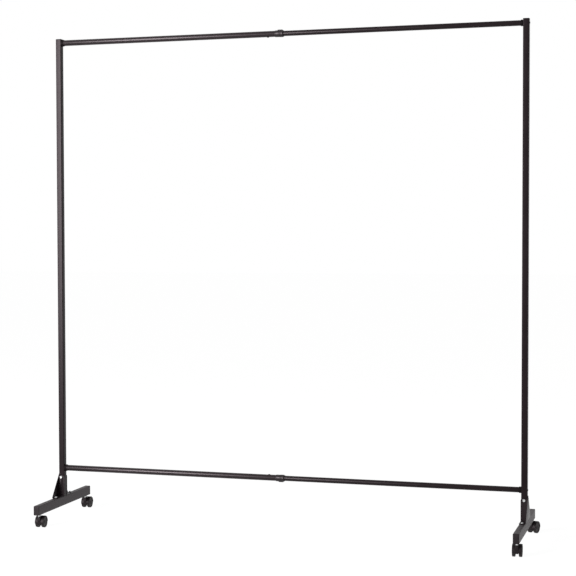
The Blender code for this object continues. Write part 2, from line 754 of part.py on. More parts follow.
def caster_hood(name, swivel, boss_top):
    """The moulded body: a web with a hump round the pin, a fender over the wheels and a boss."""
    axle = (TRAIL, AXLE_Z)
    fender_inner = WHEEL_RADIUS + FENDER_GAP
    fender_outer = fender_inner + FENDER_WALL
    web_radius = fender_inner + FENDER_WALL / 2
    hump_front = TRAIL + PIN_DIAMETER / 2 + FIT_GAP + HUMP_WALL
    hump_top = boss_top - HUMP_UNDER_BOSS - AXLE_Z
    back, front = arc(web_radius, WEB_APEX, WEB_FRONT, 1)
    hump = rounded(
        [back, (-hump_front, hump_top), (-hump_front, hump_top - HUMP_DEPTH), front],
        [0, HUMP_CORNER, HUMP_CORNER, 0],
        CORNER_STEPS,
    )
    web_outline = arc(web_radius, WEB_START, WEB_APEX, WEB_STEPS) + hump[1:-1]
    web_outline += arc(web_radius, WEB_FRONT, WEB_STOP, 1)
    web_outline += arc(WEB_HUB_DIAMETER / 2, HUB_START, HUB_STOP, HUB_STEPS)
    body = slab(name, "X", web_outline, -WEB / 2, WEB / 2, axle)
    finish(body, CASTER_PLASTIC, swivel)
    half_width = WEB / 2 + WHEEL_RUN_GAP + WHEEL_WIDTH
    fender_outline = arc(fender_outer, FENDER_START, FENDER_STOP, FENDER_STEPS)
    fender_outline += arc(fender_inner, FENDER_STOP, FENDER_START, FENDER_STEPS)
    fender = slab(f"{name}_fender", "X", fender_outline, -half_width, half_width, axle)
    combine(body, fender, "UNION")
    boss_radius = BOSS_DIAMETER / 2
    boss = turned(
        f"{name}_boss", "Z", [(boss_top - BOSS_DEPTH, boss_radius), (boss_top, boss_radius)],
        BOSS_SIDES,
    )
    combine(body, boss, "UNION")
    pin_bore = PIN_DIAMETER / 2 + FIT_GAP
    bore = turned(
        f"{name}_pin_bore", "Z",
        [(boss_top - PIN_BORE_DEPTH, pin_bore), (boss_top + OVERRUN, pin_bore)], BOLT_SIDES,
    )
    combine(body, bore, "DIFFERENCE")
    axle_bore = AXLE_DIAMETER / 2 + FIT_GAP
    reach = WEB / 2 + OVERRUN
    cross = turned(
        f"{name}_axle_bore", "X", [(-reach, axle_bore), (reach, axle_bore)], HOLE_SIDES, axle
    )
    combine(body, cross, "DIFFERENCE")


def caster_wheel(name, swivel, way):
    """A wheel with rounded shoulders, a dished face and a blind bore for the axle."""
    inner = WEB / 2 + WHEEL_RUN_GAP
    face = inner + WHEEL_WIDTH
    bore = AXLE_DIAMETER / 2 + FIT_GAP
    rim = WHEEL_RADIUS - WHEEL_RIM
    hub = WHEEL_HUB_DIAMETER / 2
    profile = [
        (face - WHEEL_BLIND, bore),
        (inner, bore),
        (inner, WHEEL_RADIUS - WHEEL_EDGE),
        (inner + WHEEL_EDGE, WHEEL_RADIUS),
        (face - WHEEL_EDGE, WHEEL_RADIUS),
        (face, WHEEL_RADIUS - WHEEL_EDGE),
        (face, rim),
        (face - WHEEL_DISH, rim - WHEEL_DISH),
        (face - WHEEL_DISH, hub),
        (face, hub - WHEEL_DISH),
    ]
    profile = [(way * station, radius) for station, radius in profile]
    wheel = turned(name, "X", profile, WHEEL_SIDES)
    finish(wheel, WHEEL_PLASTIC, swivel, (0, TRAIL, AXLE_Z))


def caster(place_name, half, y):
    """One caster: its stem belongs to the foot, and the rest turns about the stem."""
    name = f"caster_{place_name}"
    boss_top = caster_stem(f"{name}_stem", half, y) - SEAT_GAP
    swivel = empty(f"{name}_swivel", half, (0, y, 0), CASTER_TURN[place_name])
    caster_hood(f"{name}_hood", swivel, boss_top)
    reach = WEB / 2 + WHEEL_RUN_GAP + WHEEL_WIDTH - WHEEL_BLIND - SEAT_GAP
    axle = turned(
        f"{name}_axle", "X", [(-reach, AXLE_DIAMETER / 2), (reach, AXLE_DIAMETER / 2)], HOLE_SIDES
    )
    finish(axle, ZINC, swivel, (0, TRAIL, AXLE_Z))
    for wheel_name, way in SIDES.items():
        caster_wheel(f"{name}_wheel_{wheel_name}", swivel, way)


def build():
    """Make both halves, then the bars between them."""
    halves = {}
    for side_name, side in SIDES.items():
        half = empty(f"{side_name}_half", None, (side * POST_SPACING / 2, 0, 0))
        halves[side_name] = half
        post(side_name, half)
        post_cap(side_name, half)
        foot(side_name, half)
        bracket(side_name, side, half)
        bracket_bolts(side_name, half)
        for end_name, way in ENDS.items():
            caster(f"{side_name}_{end_name}", half, way * STEM_Y)
    for bar_name, height, outward in (("top", UPPER_BAR_Z, 1), ("bottom", LOWER_BAR_Z, -1)):
        outer = bar(bar_name, height, outward, halves["left"], halves["right"])
        stop_button(bar_name, -outward, height, outer, halves["left"])


build()
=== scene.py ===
# %% [markdown]
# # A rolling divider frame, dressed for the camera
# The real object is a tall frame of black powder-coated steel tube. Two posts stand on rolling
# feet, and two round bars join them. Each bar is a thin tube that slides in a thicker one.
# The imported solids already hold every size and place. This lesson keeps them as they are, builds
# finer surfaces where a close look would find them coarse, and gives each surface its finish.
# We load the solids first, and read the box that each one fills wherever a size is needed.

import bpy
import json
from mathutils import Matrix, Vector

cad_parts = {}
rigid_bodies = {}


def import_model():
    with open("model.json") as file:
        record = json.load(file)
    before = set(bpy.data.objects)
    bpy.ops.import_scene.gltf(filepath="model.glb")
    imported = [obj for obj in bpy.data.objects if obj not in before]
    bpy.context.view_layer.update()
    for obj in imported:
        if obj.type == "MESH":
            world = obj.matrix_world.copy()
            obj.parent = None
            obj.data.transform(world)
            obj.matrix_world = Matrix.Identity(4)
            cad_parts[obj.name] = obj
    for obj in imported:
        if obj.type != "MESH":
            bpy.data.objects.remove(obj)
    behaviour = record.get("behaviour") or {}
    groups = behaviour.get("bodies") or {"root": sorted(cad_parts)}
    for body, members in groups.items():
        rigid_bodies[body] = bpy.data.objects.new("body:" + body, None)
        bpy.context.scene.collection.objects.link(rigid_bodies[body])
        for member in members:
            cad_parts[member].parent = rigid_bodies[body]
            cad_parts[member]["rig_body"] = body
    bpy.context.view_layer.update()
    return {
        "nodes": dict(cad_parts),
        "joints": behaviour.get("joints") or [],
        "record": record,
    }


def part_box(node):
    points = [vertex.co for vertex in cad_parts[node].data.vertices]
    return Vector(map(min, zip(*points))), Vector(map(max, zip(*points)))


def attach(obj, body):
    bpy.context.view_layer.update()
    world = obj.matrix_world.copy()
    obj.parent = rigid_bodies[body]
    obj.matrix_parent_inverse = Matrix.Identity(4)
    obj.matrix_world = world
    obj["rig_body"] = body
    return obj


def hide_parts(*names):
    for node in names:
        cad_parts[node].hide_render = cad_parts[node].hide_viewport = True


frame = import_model()

# %% [markdown]
# ## The camera
# The photograph was taken from the right of the frame, at chest height, with a longish lens.
# Its place was worked out from the corners of the posts, bars and feet. We build the turn from
# three plain angles, because a yaw, a pitch and a roll are easy to read and to change.

# %% Set the camera
import json
import math

import bmesh
import bpy
from mathutils import Matrix, Vector

EYE = (1.7066, -5.6681, 1.2385)
YAW, PITCH, ROLL = 16.5195, -2.0993, -0.1110
LENS = 88.602


def spin(degrees, axis):
    """Return a turn about one axis."""
    return Matrix.Rotation(math.radians(degrees), 4, axis)


camera = bpy.data.objects.new("camera", bpy.data.cameras.new("camera"))
bpy.context.scene.collection.objects.link(camera)
camera.data.lens = LENS
camera.matrix_world = (
    Matrix.Translation(EYE) @ spin(YAW, "Z") @ spin(90 + PITCH, "X") @ spin(ROLL, "Z")
)
bpy.context.scene.camera = camera
bpy.context.scene.view_settings.view_transform = "Standard"
print("camera looks along", tuple(round(v, 3) for v in -camera.matrix_world.col[2].xyz))

# %% [markdown]
# ## Shader sums in plain Python
# A finish is a sum of small causes: grain, broad clouds, dust, rubbed edges. Wiring Math nodes
# by hand hides that sum, so we wrap a socket in a small class. Its operators add the Math
# nodes, and one method makes any other node from its type, its settings and its inputs.

# %% Wrap a socket


class Wire:
    """A socket of a node tree that can be used in sums and products."""

    def __init__(self, tree, socket=None):
        self.tree = tree
        self.socket = socket

    def make(self, kind, settings=None, inputs=None, output=0):
        """Add a node: first its settings, then the values or links of its sockets."""
        node = self.tree.nodes.new("ShaderNode" + kind)
        for name, value in (settings or {}).items():
            setattr(node, name, value)
        for name, value in (inputs or {}).items():
            if isinstance(value, Wire):
                self.tree.links.new(value.socket, node.inputs[name])
            else:
                node.inputs[name].default_value = value
        return Wire(self.tree, node.outputs[output])

    def math(self, operation, *values):
        """Add a Math node."""
        return self.make("Math", {"operation": operation}, dict(enumerate(values)))

    def vector(self, operation, *values, output=0):
        """Add a Vector Math node."""
        return self.make("VectorMath", {"operation": operation}, dict(enumerate(values)), output)

    def __add__(self, other):
        return self.math("ADD", self, other)

    def __sub__(self, other):
        return self.math("SUBTRACT", self, other)

    def __rsub__(self, other):
        return self.math("SUBTRACT", other, self)

    def __mul__(self, other):
        return self.math("MULTIPLY", self, other)

    __radd__ = __add__
    __rmul__ = __mul__

    def between(self, low, high):
        """Return 0 below one value and 1 above the other, smooth in between."""
        settings = {"interpolation_type": "SMOOTHSTEP"}
        return self.make("MapRange", settings, {"Value": self, "From Min": low, "From Max": high})

    def blend(self, first, second):
        """Mix two colours, with this socket as the share of the second."""
        return self.make("Mix", {"data_type": "RGBA"}, {0: self, 6: first, 7: second}, output=2)


print("wrapper ready")

# %% [markdown]
# ## Measures that every finish needs
# Each finish reads the same few measures of the surface: a noise of some size, a noise drawn out
# along one axis, how far the surface faces up, and how near a rubbed edge is. The Bevel node
# bends the normal near an edge, so its difference from the true normal finds the edges.

# %% Measure the surface
PLAIN, WORN, CLOUDY, SPECKLED = (2.0, 0.5), (3.0, 0.5), (3.0, 0.6), (4.0, 0.7)
LEVEL_RANGE = (0.5, 0.95)
BEND_RANGE = (0.02, 0.3)
BEND_SAMPLES = 4


def noise(tree, place, size, kind=PLAIN):
    """Return noise with blobs of about a size in metres; kind is its detail and roughness."""
    detail, rough = kind
    inputs = {"Vector": place, "Scale": 1 / size, "Detail": detail, "Roughness": rough}
    return tree.make("TexNoise", None, inputs)


def drawn_noise(tree, place, sizes):
    """Return noise with a different size along each axis, for lines and scratches."""
    stretched = place.vector("MULTIPLY", place, tuple(1 / size for size in sizes))
    return noise(tree, stretched, 1.0)


def facing_up(tree):
    """Return 1 on level upper faces and 0 on upright ones."""
    normal = tree.make("NewGeometry", output="Normal")
    height = normal.vector("DOT_PRODUCT", normal, (0, 0, 1), output="Value")
    return height.between(*LEVEL_RANGE)


def near_edge(tree, radius):
    """Return up to 1 close to a sharp edge."""
    true = tree.make("NewGeometry", output="Normal")
    bent = tree.make("Bevel", {"samples": BEND_SAMPLES}, {"Radius": radius})
    match = true.vector("DOT_PRODUCT", true, bent, output="Value")
    return (1 - match).between(*BEND_RANGE)


def material(name):
    """Start a material; return it, a wire on its tree and its shader."""
    made = bpy.data.materials.new(name)
    made.use_nodes = True
    return made, Wire(made.node_tree), made.node_tree.nodes["Principled BSDF"]


def connect(shader, **inputs):
    """Link or set the shader's inputs."""
    for name, value in inputs.items():
        socket = shader.inputs[name.replace("_", " ")]
        if isinstance(value, Wire):
            value.tree.links.new(value.socket, socket)
        else:
            socket.default_value = value


print("measures ready")

# %% [markdown]
# ## Powder coat
# The tubes and brackets carry a black powder coat. Close up it has the skin of an orange, about
# a millimetre from bump to bump. It is slightly warm, it dulls in broad clouds, dust settles on
# level faces, and handled edges wear to a lighter grey. A picture could carry all that, but noise
# read from a piece's own place in metres needs no unwrapping and has one grain on every piece.
#
# The photograph shows it in five states, and one function makes them all. The posts are satin.
# The feet are duller and paler, the brackets lie between. The thick bars shine most and most
# evenly. The thin bars also get long rub marks from sliding.

# %% Make the powder coat
COAT_DARK = (0.0058, 0.0035, 0.0042, 1)
COAT_LIGHT = (0.0090, 0.0055, 0.0066, 1)
COAT_WORN = (0.060, 0.056, 0.058, 1)
WARM_TINT = (1.0, 0.88, 0.93, 1)
DUST = (0.20, 0.19, 0.18, 1)

PEEL_SIZE, PEEL_DEPTH, PEEL_DULLS = 0.0011, 0.00006, 0.05
CLOUD_SIZE, CLOUD_RANGE, CLOUD_DULLS = 0.12, (0.3, 0.7), 0.08
DUST_SIZE, DUST_RANGE, DUST_DULLS, DUST_SHARE = 0.02, (0.35, 0.8), 0.10, 0.05
WEAR_REACH, WEAR_SIZE, WEAR_RANGE, WEAR_SHARE = 0.0006, 0.006, (0.45, 0.7), 0.5
RUB_SIZES, RUB_RANGE, RUB_POLISHES = (0.30, 0.0007, 0.0007), (0.60, 0.72), 0.12


def lay_black(shader, colour, shine, level, bumps, strength, depth):
    """Connect a black finish: its colour, roughness, warm reflection and bumps."""
    inputs = {"Strength": strength, "Distance": depth, "Height": bumps}
    connect(
        shader,
        Base_Color=colour,
        Roughness=shine,
        Normal=bumps.make("Bump", None, inputs),
        Specular_IOR_Level=level,
        Specular_Tint=WARM_TINT,
    )


def powder_coat(name, level, peel, rough, rubbed=0.0):
    """Make a black coat of some reflectance, peel and roughness, rubbed where it slides."""
    made, tree, shader = material(name)
    place = tree.make("TexCoord", output="Object")
    bumps = noise(tree, place, PEEL_SIZE)
    cloud = noise(tree, place, CLOUD_SIZE, CLOUDY)
    dust = facing_up(tree) * noise(tree, place, DUST_SIZE, SPECKLED).between(*DUST_RANGE)
    patches = noise(tree, place, WEAR_SIZE, WORN)
    edge = near_edge(tree, WEAR_REACH) * patches.between(*WEAR_RANGE)
    colour = cloud.between(*CLOUD_RANGE).blend(COAT_DARK, COAT_LIGHT)
    colour = (edge * WEAR_SHARE).blend(colour, COAT_WORN)
    colour = (dust * DUST_SHARE).blend(colour, DUST)
    shine = cloud * CLOUD_DULLS + bumps * PEEL_DULLS + dust * DUST_DULLS + rough
    if rubbed:
        marks = drawn_noise(tree, place, RUB_SIZES).between(*RUB_RANGE) * rubbed
        colour = marks.blend(colour, COAT_WORN)
        shine = shine - marks * RUB_POLISHES
    lay_black(shader, colour, shine, level, bumps, peel, PEEL_DEPTH)
    return made


coat = powder_coat("satin_black_coat", level=0.10, peel=0.30, rough=0.24)
matte_coat = powder_coat("matte_black_coat", level=0.38, peel=0.30, rough=0.45)
bracket_coat = powder_coat("satin_black_coat_bracket", level=0.12, peel=0.30, rough=0.30)
bar_coat = powder_coat("satin_black_coat_bar", level=0.28, peel=0.10, rough=0.24)
rubbed_coat = powder_coat("satin_black_coat_rubbed", level=0.14, peel=0.10, rough=0.24, rubbed=0.2)
print("made", [made.name for made in (coat, matte_coat, bracket_coat, bar_coat, rubbed_coat)])

# %% [markdown]
# ## Moulded plastic
# Every plastic piece is black nylon from a spark-eroded mould, with a fine even grain. The post
# caps and sockets are the darkest. The foot caps, the collars and the casters catch more light,
# and the collars are the smoothest. The wheels gather grey dust on the tread, which we find from
# the distance to the axle, because each wheel is built round its own origin.

# %% Make the plastics
NYLON_DARK = (0.0052, 0.0040, 0.0044, 1)
NYLON_LIGHT = (0.0086, 0.0066, 0.0073, 1)
TREAD_DUST = (0.070, 0.067, 0.062, 1)

GRAIN_STRENGTH, GRAIN_DEPTH, GRAIN_DULLS = 0.25, 0.00003, 0.05
FLOW_SIZE, FLOW_RANGE, FLOW_DULLS = 0.012, (0.3, 0.7), 0.10
SCUFF_REACH, SCUFF_SIZE, SCUFF_RANGE, SCUFF_SHARE = 0.0004, 0.004, (0.4, 0.7), 0.3
TREAD_SIZE, TREAD_RANGE, TREAD_DULLS, TREAD_SHARE = 0.003, (0.3, 0.75), 0.2, 0.3
TREAD_FADE = (0.0212, 0.0233)


def nylon(name, grain, rough, level, tread=None):
    """Make a black moulded plastic; dust gathers outward over a tread's range of radius."""
    made, tree, shader = material(name)
    place = tree.make("TexCoord", output="Object")
    fine = noise(tree, place, grain)
    flow = noise(tree, place, FLOW_SIZE, CLOUDY)
    patches = noise(tree, place, SCUFF_SIZE, WORN)
    edge = near_edge(tree, SCUFF_REACH) * patches.between(*SCUFF_RANGE)
    colour = flow.between(*FLOW_RANGE).blend(NYLON_DARK, NYLON_LIGHT)
    colour = (edge * SCUFF_SHARE).blend(colour, COAT_WORN)
    shine = flow * FLOW_DULLS + fine * GRAIN_DULLS + rough
    if tread:
        flat = place.vector("MULTIPLY", place, (0, 1, 1))
        radius = flat.vector("LENGTH", flat, output="Value").between(*tread)
        dusty = radius * noise(tree, place, TREAD_SIZE, SPECKLED).between(*TREAD_RANGE)
        colour = (dusty * TREAD_SHARE).blend(colour, TREAD_DUST)
        shine = shine + dusty * TREAD_DULLS
    lay_black(shader, colour, shine, level, fine, GRAIN_STRENGTH, GRAIN_DEPTH)
    return made


cap_nylon = nylon("grained_black_nylon", grain=0.0005, rough=0.45, level=0.04)
foot_cap_nylon = nylon("foot_cap_black_nylon", grain=0.0005, rough=0.42, level=0.20)
collar_nylon = nylon("collar_black_nylon", grain=0.0005, rough=0.26, level=0.26)
hood_nylon = nylon("smooth_black_nylon", grain=0.0009, rough=0.40, level=0.14)
wheel_nylon = nylon("wheel_black_nylon", grain=0.0008, rough=0.36, level=0.16, tread=TREAD_FADE)
plastics = (cap_nylon, foot_cap_nylon, collar_nylon, hood_nylon, wheel_nylon)
print("made", [made.name for made in plastics])

# %% [markdown]
# ## Bright zinc
# The bolts, nuts and caster stems are zinc plated: a pale, slightly cloudy metal whose gloss
# changes in small patches, with fine turning lines left by the tool. Under each bolt head the
# colour is darkened to near black up to the washer's height. Each bolt and its washer are one
# surface here, so the height above the seat tells them apart.

# %% Make the zinc
ZINC_PALE = (0.54, 0.54, 0.53, 1)
ZINC_GREY = (0.36, 0.37, 0.38, 1)
ZINC_ROUGH = 0.30
# Near-black colour laid on the zinc up to the washer's height under each bolt head.
WASHER_DARK = (0.035, 0.034, 0.035, 1)
WASHER = 0.0012
WASHER_FADE = 0.0002

PATCH_SIZE, PATCH_RANGE, PATCH_DULLS = 0.0025, (0.3, 0.7), 0.15
LINE_SIZES, LINE_STRENGTH, LINE_DEPTH = (0.004, 0.004, 0.00025), 0.2, 0.00003


def plated(name, washer=None):
    """Make a cloudy plated metal; up to a washer's height it is blackened."""
    made, tree, shader = material(name)
    place = tree.make("TexCoord", output="Object")
    patches = noise(tree, place, PATCH_SIZE, CLOUDY)
    lines = drawn_noise(tree, place, LINE_SIZES)
    colour = patches.between(*PATCH_RANGE).blend(ZINC_GREY, ZINC_PALE)
    if washer:
        height = tree.make("SeparateXYZ", None, {"Vector": place}, output="Z")
        colour = height.between(washer, washer + WASHER_FADE).blend(WASHER_DARK, colour)
    heights = {"Strength": LINE_STRENGTH, "Distance": LINE_DEPTH, "Height": lines}
    bump = tree.make("Bump", None, heights)
    shine = patches * PATCH_DULLS + ZINC_ROUGH
    connect(shader, Base_Color=colour, Metallic=1.0, Roughness=shine, Normal=bump)
    return made


zinc = plated("bright_zinc")
bolt_zinc = plated("bolt_zinc", WASHER)
print("made", zinc.name, bolt_zinc.name)

# %% [markdown]
# ## Outlines and skins
# Nearly every piece here is one outline carried along a line or turned round one. We write the
# outline with sharp corners and named radii, round it, and skin the copies. Shading is smooth,
# with edges kept sharp where faces meet at more than a set angle.

# %% Helpers for meshes
SHARP_ANGLE = 32


def polar(radius, angle):
    """Return the point at a radius and an angle."""
    return radius * math.cos(angle), radius * math.sin(angle)


def circle(radius, count):
    """Return points round a circle."""
    return [polar(radius, math.tau * k / count) for k in range(count)]


def rounded(corners, radii, steps=5):
    """Return an outline whose corners are rounded, by one radius or by one for each."""
    points = []
    for k, corner in enumerate(corners):
        here = Vector(corner)
        radius = radii[k] if isinstance(radii, list) else radii
        if not radius:
            points.append(tuple(corner))
            continue
        before = (Vector(corners[k - 1]) - here).normalized()
        after = (Vector(corners[(k + 1) % len(corners)]) - here).normalized()
        half = before.angle(after) / 2
        centre = here + (before + after).normalized() * (radius / math.sin(half))
        start = here + before * (radius / math.tan(half)) - centre
        stop = here + after * (radius / math.tan(half)) - centre
        turn = start.angle_signed(stop)
        for n in range(steps + 1):
            spoke = Matrix.Rotation(-turn * n / steps, 2) @ start
            points.append(tuple(centre + spoke))
    return points


def box_outline(width, height, radius, steps=6):
    """Return a rounded rectangle round the origin."""
    u, v = width / 2, height / 2
    return rounded([(u, v), (-u, v), (-u, -v), (u, -v)], radius, steps)


def skin(name, rings, loop=False, sharp=SHARP_ANGLE):
    """Skin rings of equally many points; a loop joins the last to the first."""
    shell = bmesh.new()
    verts = [[shell.verts.new(point) for point in ring] for ring in rings]
    pairs = list(zip(verts, verts[1:]))
    if loop:
        pairs.append((verts[-1], verts[0]))
    else:
        shell.faces.new(verts[0])
        shell.faces.new(verts[-1])
    for first, second in pairs:
        for k in range(len(first)):
            n = (k + 1) % len(first)
            shell.faces.new((first[k], first[n], second[n], second[k]))
    bmesh.ops.recalc_face_normals(shell, faces=shell.faces)
    mesh = bpy.data.meshes.new(name)
    shell.to_mesh(mesh)
    shell.free()
    mesh.shade_smooth()
    mesh.set_sharp_from_angle(angle=math.radians(sharp))
    made = bpy.data.objects.new(name, mesh)
    bpy.context.scene.collection.objects.link(made)
    return made


def raised(outline, height):
    """Place a flat outline at a height along Z."""
    return [(u, v, height) for u, v in outline]


def levels(profile, sides):
    """Return level circles round Z from (height, radius) pairs."""
    return [raised(circle(radius, sides), height) for height, radius in profile]


def turned(name, profile, sides=64, loop=False):
    """Turn (height, radius) pairs round Z."""
    return skin(name, levels(profile, sides), loop)


print("helpers ready")

# %% [markdown]
# ## Taking a solid's place
# A finer surface stands for one imported solid. It takes that solid's name with an ending and
# rides on the same body.
# Its sizes come from the solid's box, so that the two can't drift apart.

# %% Dress a node
SLOTS = {row["node"]: row["material_slot"] for row in frame["record"]["subparts"]}


def dress(node, piece, finish, place=None):
    """Let a piece stand for a node, at a place, with a finish."""
    piece.name = node + ".form"
    if place is not None:
        piece.matrix_world = place
    piece.data.materials.clear()
    piece.data.materials.append(finish)
    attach(piece, frame["nodes"][node]["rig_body"])
    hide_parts(node)


def middle(node):
    """Return the middle of a node's box."""
    low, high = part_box(node)
    return (low + high) / 2


def size(node):
    """Return the size of a node's box."""
    low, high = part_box(node)
    return high - low


print("slots", sorted(set(SLOTS.values())))

# %% [markdown]
# ## Posts and feet
# Both are welded steel tube with small corner radii. We draw the section with eight steps to a
# corner, inside and out, and carry it from end to end, so that the highlight rolls round the
# corner as it does on the real tube.

# %% Build posts and feet
TUBE_WALL = 0.0015
TUBE_CORNER = 0.003
TUBE_STEPS = 8
ALONG_Y = spin(-90, "X")


def box_tube(node, width, height, length, finish, place):
    """Build a rectangular tube along Z."""
    bore = (width - 2 * TUBE_WALL, height - 2 * TUBE_WALL, TUBE_CORNER - TUBE_WALL)
    outer = box_outline(width, height, TUBE_CORNER, TUBE_STEPS)
    inner = box_outline(*bore, TUBE_STEPS)
    rings = [raised(outer, 0), raised(outer, length), raised(inner, length), raised(inner, 0)]
    dress(node, skin(node, rings, loop=True), finish, place)


for side in ("left", "right"):
    post, foot = f"{side}_post", f"{side}_foot"
    low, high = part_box(post)
    centre = middle(post)
    place = Matrix.Translation((centre.x, centre.y, low.z))
    box_tube(post, high.x - low.x, high.y - low.y, high.z - low.z, coat, place)
    low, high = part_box(foot)
    centre = middle(foot)
    place = Matrix.Translation((centre.x, low.y, centre.z)) @ ALONG_Y
    box_tube(foot, high.x - low.x, high.z - low.z, high.y - low.y, matte_coat, place)
    print(side, "post", [round(v, 4) for v in size(post)])

# %% [markdown]
# ## End caps
# Each tube end is closed by a moulded cap. Its head is as wide as the tube, its edge is rounded
# over, and its face is very slightly crowned, which keeps a plain cap from looking like a flat
# lid. We stack outlines that shrink along a quarter circle, because a bevelled box would not
# keep the tube's own corners. The plug inside is only sketched, as nothing shows it.

# %% Build the caps
SEAT_GAP = 0.0003
CAP_EDGE = 0.0012
CAP_CROWN = 0.0003
CROWN_SHARES = (0.6, 0.2)
CAP_PLUG = 0.010
CAP_STEPS = 6


def cap(node, width, height, head, finish, place):
    """Build a cap whose head rises along Z from its seat at zero."""
    inset = TUBE_WALL + SEAT_GAP
    inner_corner = TUBE_CORNER - TUBE_WALL
    plug = box_outline(width - 2 * inset, height - 2 * inset, inner_corner, CAP_STEPS)
    rim = box_outline(width, height, TUBE_CORNER, CAP_STEPS)
    rings = [raised(plug, -CAP_PLUG), raised(plug, 0), raised(rim, 0)]
    shoulder = head - CAP_CROWN - CAP_EDGE
    for k in range(CAP_STEPS + 1):
        angle = math.pi / 2 * k / CAP_STEPS
        shrink = CAP_EDGE * (1 - math.cos(angle))
        sides = (width - 2 * shrink, height - 2 * shrink)
        outline = box_outline(*sides, TUBE_CORNER - shrink, CAP_STEPS)
        rings.append(raised(outline, shoulder + CAP_EDGE * math.sin(angle)))
    for share in CROWN_SHARES:
        flat = [(u * share, v * share) for u, v in outline]
        rings.append(raised(flat, head - CAP_CROWN * share * share))
    dress(node, skin(node, rings), finish, place)


for side in ("left", "right"):
    node = f"{side}_post_cap"
    low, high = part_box(node)
    centre = middle(node)
    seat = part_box(f"{side}_post")[1].z + SEAT_GAP
    place = Matrix.Translation((centre.x, centre.y, seat))
    cap(node, high.x - low.x, high.y - low.y, high.z - seat, cap_nylon, place)
    foot_low, foot_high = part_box(f"{side}_foot")
    centre = middle(f"{side}_foot")
    ends = {"front": (foot_low.y - SEAT_GAP, 90), "rear": (foot_high.y + SEAT_GAP, -90)}
    for end, (seat, turn) in ends.items():
        node = f"{side}_foot_cap_{end}"
        low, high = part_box(node)
        head = abs((low.y if end == "front" else high.y) - seat)
        place = Matrix.Translation((centre.x, seat, centre.z)) @ spin(turn, "X")
        cap(node, high.x - low.x, high.z - low.z, head, foot_cap_nylon, place)
print("caps built")

# %% [markdown]
# ## Brackets
# Each bracket is 2 mm sheet, bent along the foot and welded to two flanges that hold the post.
# Its solid has the right shape already, but razor edges. We copy the mesh, merge its flat
# triangles back into clean faces, and round every edge a little, as powder coat does.

# %% Soften the brackets
SHEET_EDGE = 0.00045
MERGE_DISTANCE = 0.00001
FLAT_ANGLE = 1
EDGE_ANGLE = 40
EDGE_SEGMENTS = 3


def soften_edges(piece, width):
    """Round a piece's sharp edges with a modifier; return the modifier."""
    bevel = piece.modifiers.new("edges", "BEVEL")
    bevel.width = width
    bevel.segments = EDGE_SEGMENTS
    bevel.limit_method = "ANGLE"
    bevel.angle_limit = math.radians(EDGE_ANGLE)
    return bevel


def softened(node, width):
    """Copy a node's mesh with clean flat faces and rounded edges."""
    shell = bmesh.new()
    shell.from_mesh(frame["nodes"][node].data)
    bmesh.ops.remove_doubles(shell, verts=shell.verts, dist=MERGE_DISTANCE)
    flat = math.radians(FLAT_ANGLE)
    bmesh.ops.dissolve_limit(shell, angle_limit=flat, verts=shell.verts, edges=shell.edges)
    mesh = bpy.data.meshes.new(node)
    shell.to_mesh(mesh)
    shell.free()
    mesh.shade_smooth()
    made = bpy.data.objects.new(node, mesh)
    bpy.context.scene.collection.objects.link(made)
    soften_edges(made, width).harden_normals = True
    return made


for side in ("left", "right"):
    dress(f"{side}_bracket", softened(f"{side}_bracket", SHEET_EDGE), bracket_coat)
print("brackets softened")

# %% [markdown]
# ## Hexagon heads, nuts and threads
# A real hexagon head is a hexagon cut by a shallow cone, which leaves six curved arcs where the
# chamfer meets the flats. We get them by letting each point's height follow the cone at that
# point's radius. The thread is a true helix: its radius follows height and angle together.

# %% Make hexagon outlines
HEX_SIDES = 72
HEX_SHARP = 25
CHAMFER_SLOPE = math.tan(math.radians(30))
CROWN_SHARE = 0.96
STEPS_PER_PITCH = 6


def hexagon(across_flats):
    """Return a hexagon with evenly spaced angles."""
    points = []
    for k in range(HEX_SIDES):
        angle = math.tau * k / HEX_SIDES
        radius = across_flats / 2 / math.cos(angle % (math.pi / 3) - math.pi / 6)
        points.append(polar(radius, angle))
    return points


def coned(across_flats, top, way):
    """Return the hexagon's rim where a cone cuts it, and its flat face; way is 1 at the top."""
    crown = across_flats / 2 * CROWN_SHARE
    rim = []
    for u, v in hexagon(across_flats):
        drop = max(0.0, math.hypot(u, v) - crown) * CHAMFER_SLOPE
        rim.append((u, v, top - way * drop))
    return rim, raised(circle(crown, HEX_SIDES), top)


def thread(radius, start, stop, pitch, depth):
    """Return the rings of a screw thread from start up to stop."""
    rings = []
    steps = max(2, round((stop - start) / pitch * STEPS_PER_PITCH))
    for n in range(steps + 1):
        height = start + (stop - start) * n / steps
        ring = []
        for k in range(HEX_SIDES):
            wave = (height / pitch - k / HEX_SIDES) % 1
            reach = radius - depth * abs(2 * wave - 1)
            ring.append((*polar(reach, math.tau * k / HEX_SIDES), height))
        rings.append(ring)
    return rings


print("hexagons ready")

# %% [markdown]
# ## Bolts and nuts
# Each bolt has a washer under its head. The long one through the post ends in a few turns of
# thread past its nut, seen from behind. The head's face carries a shallow forged dish. Shank,
# washer and head could be three pieces, but one skin of rings leaves no faces hidden in between.

# %% Build bolts and nuts
BOLT_RADIUS = 0.003
BOLT_HEX = 0.010
BOLT_HEAD = 0.004
BOLT_TURNS = {"front": 20, "rear": -35}
WASHER_RADIUS = 0.006
WASHER_EDGE = 0.0002
THREAD_PITCH = 0.001
THREAD_DEPTH = 0.0005
DISH = ((0, 0.34), (0.0004, 0.29), (0.0005, 0.05))
NUT_SINK = 0.0004


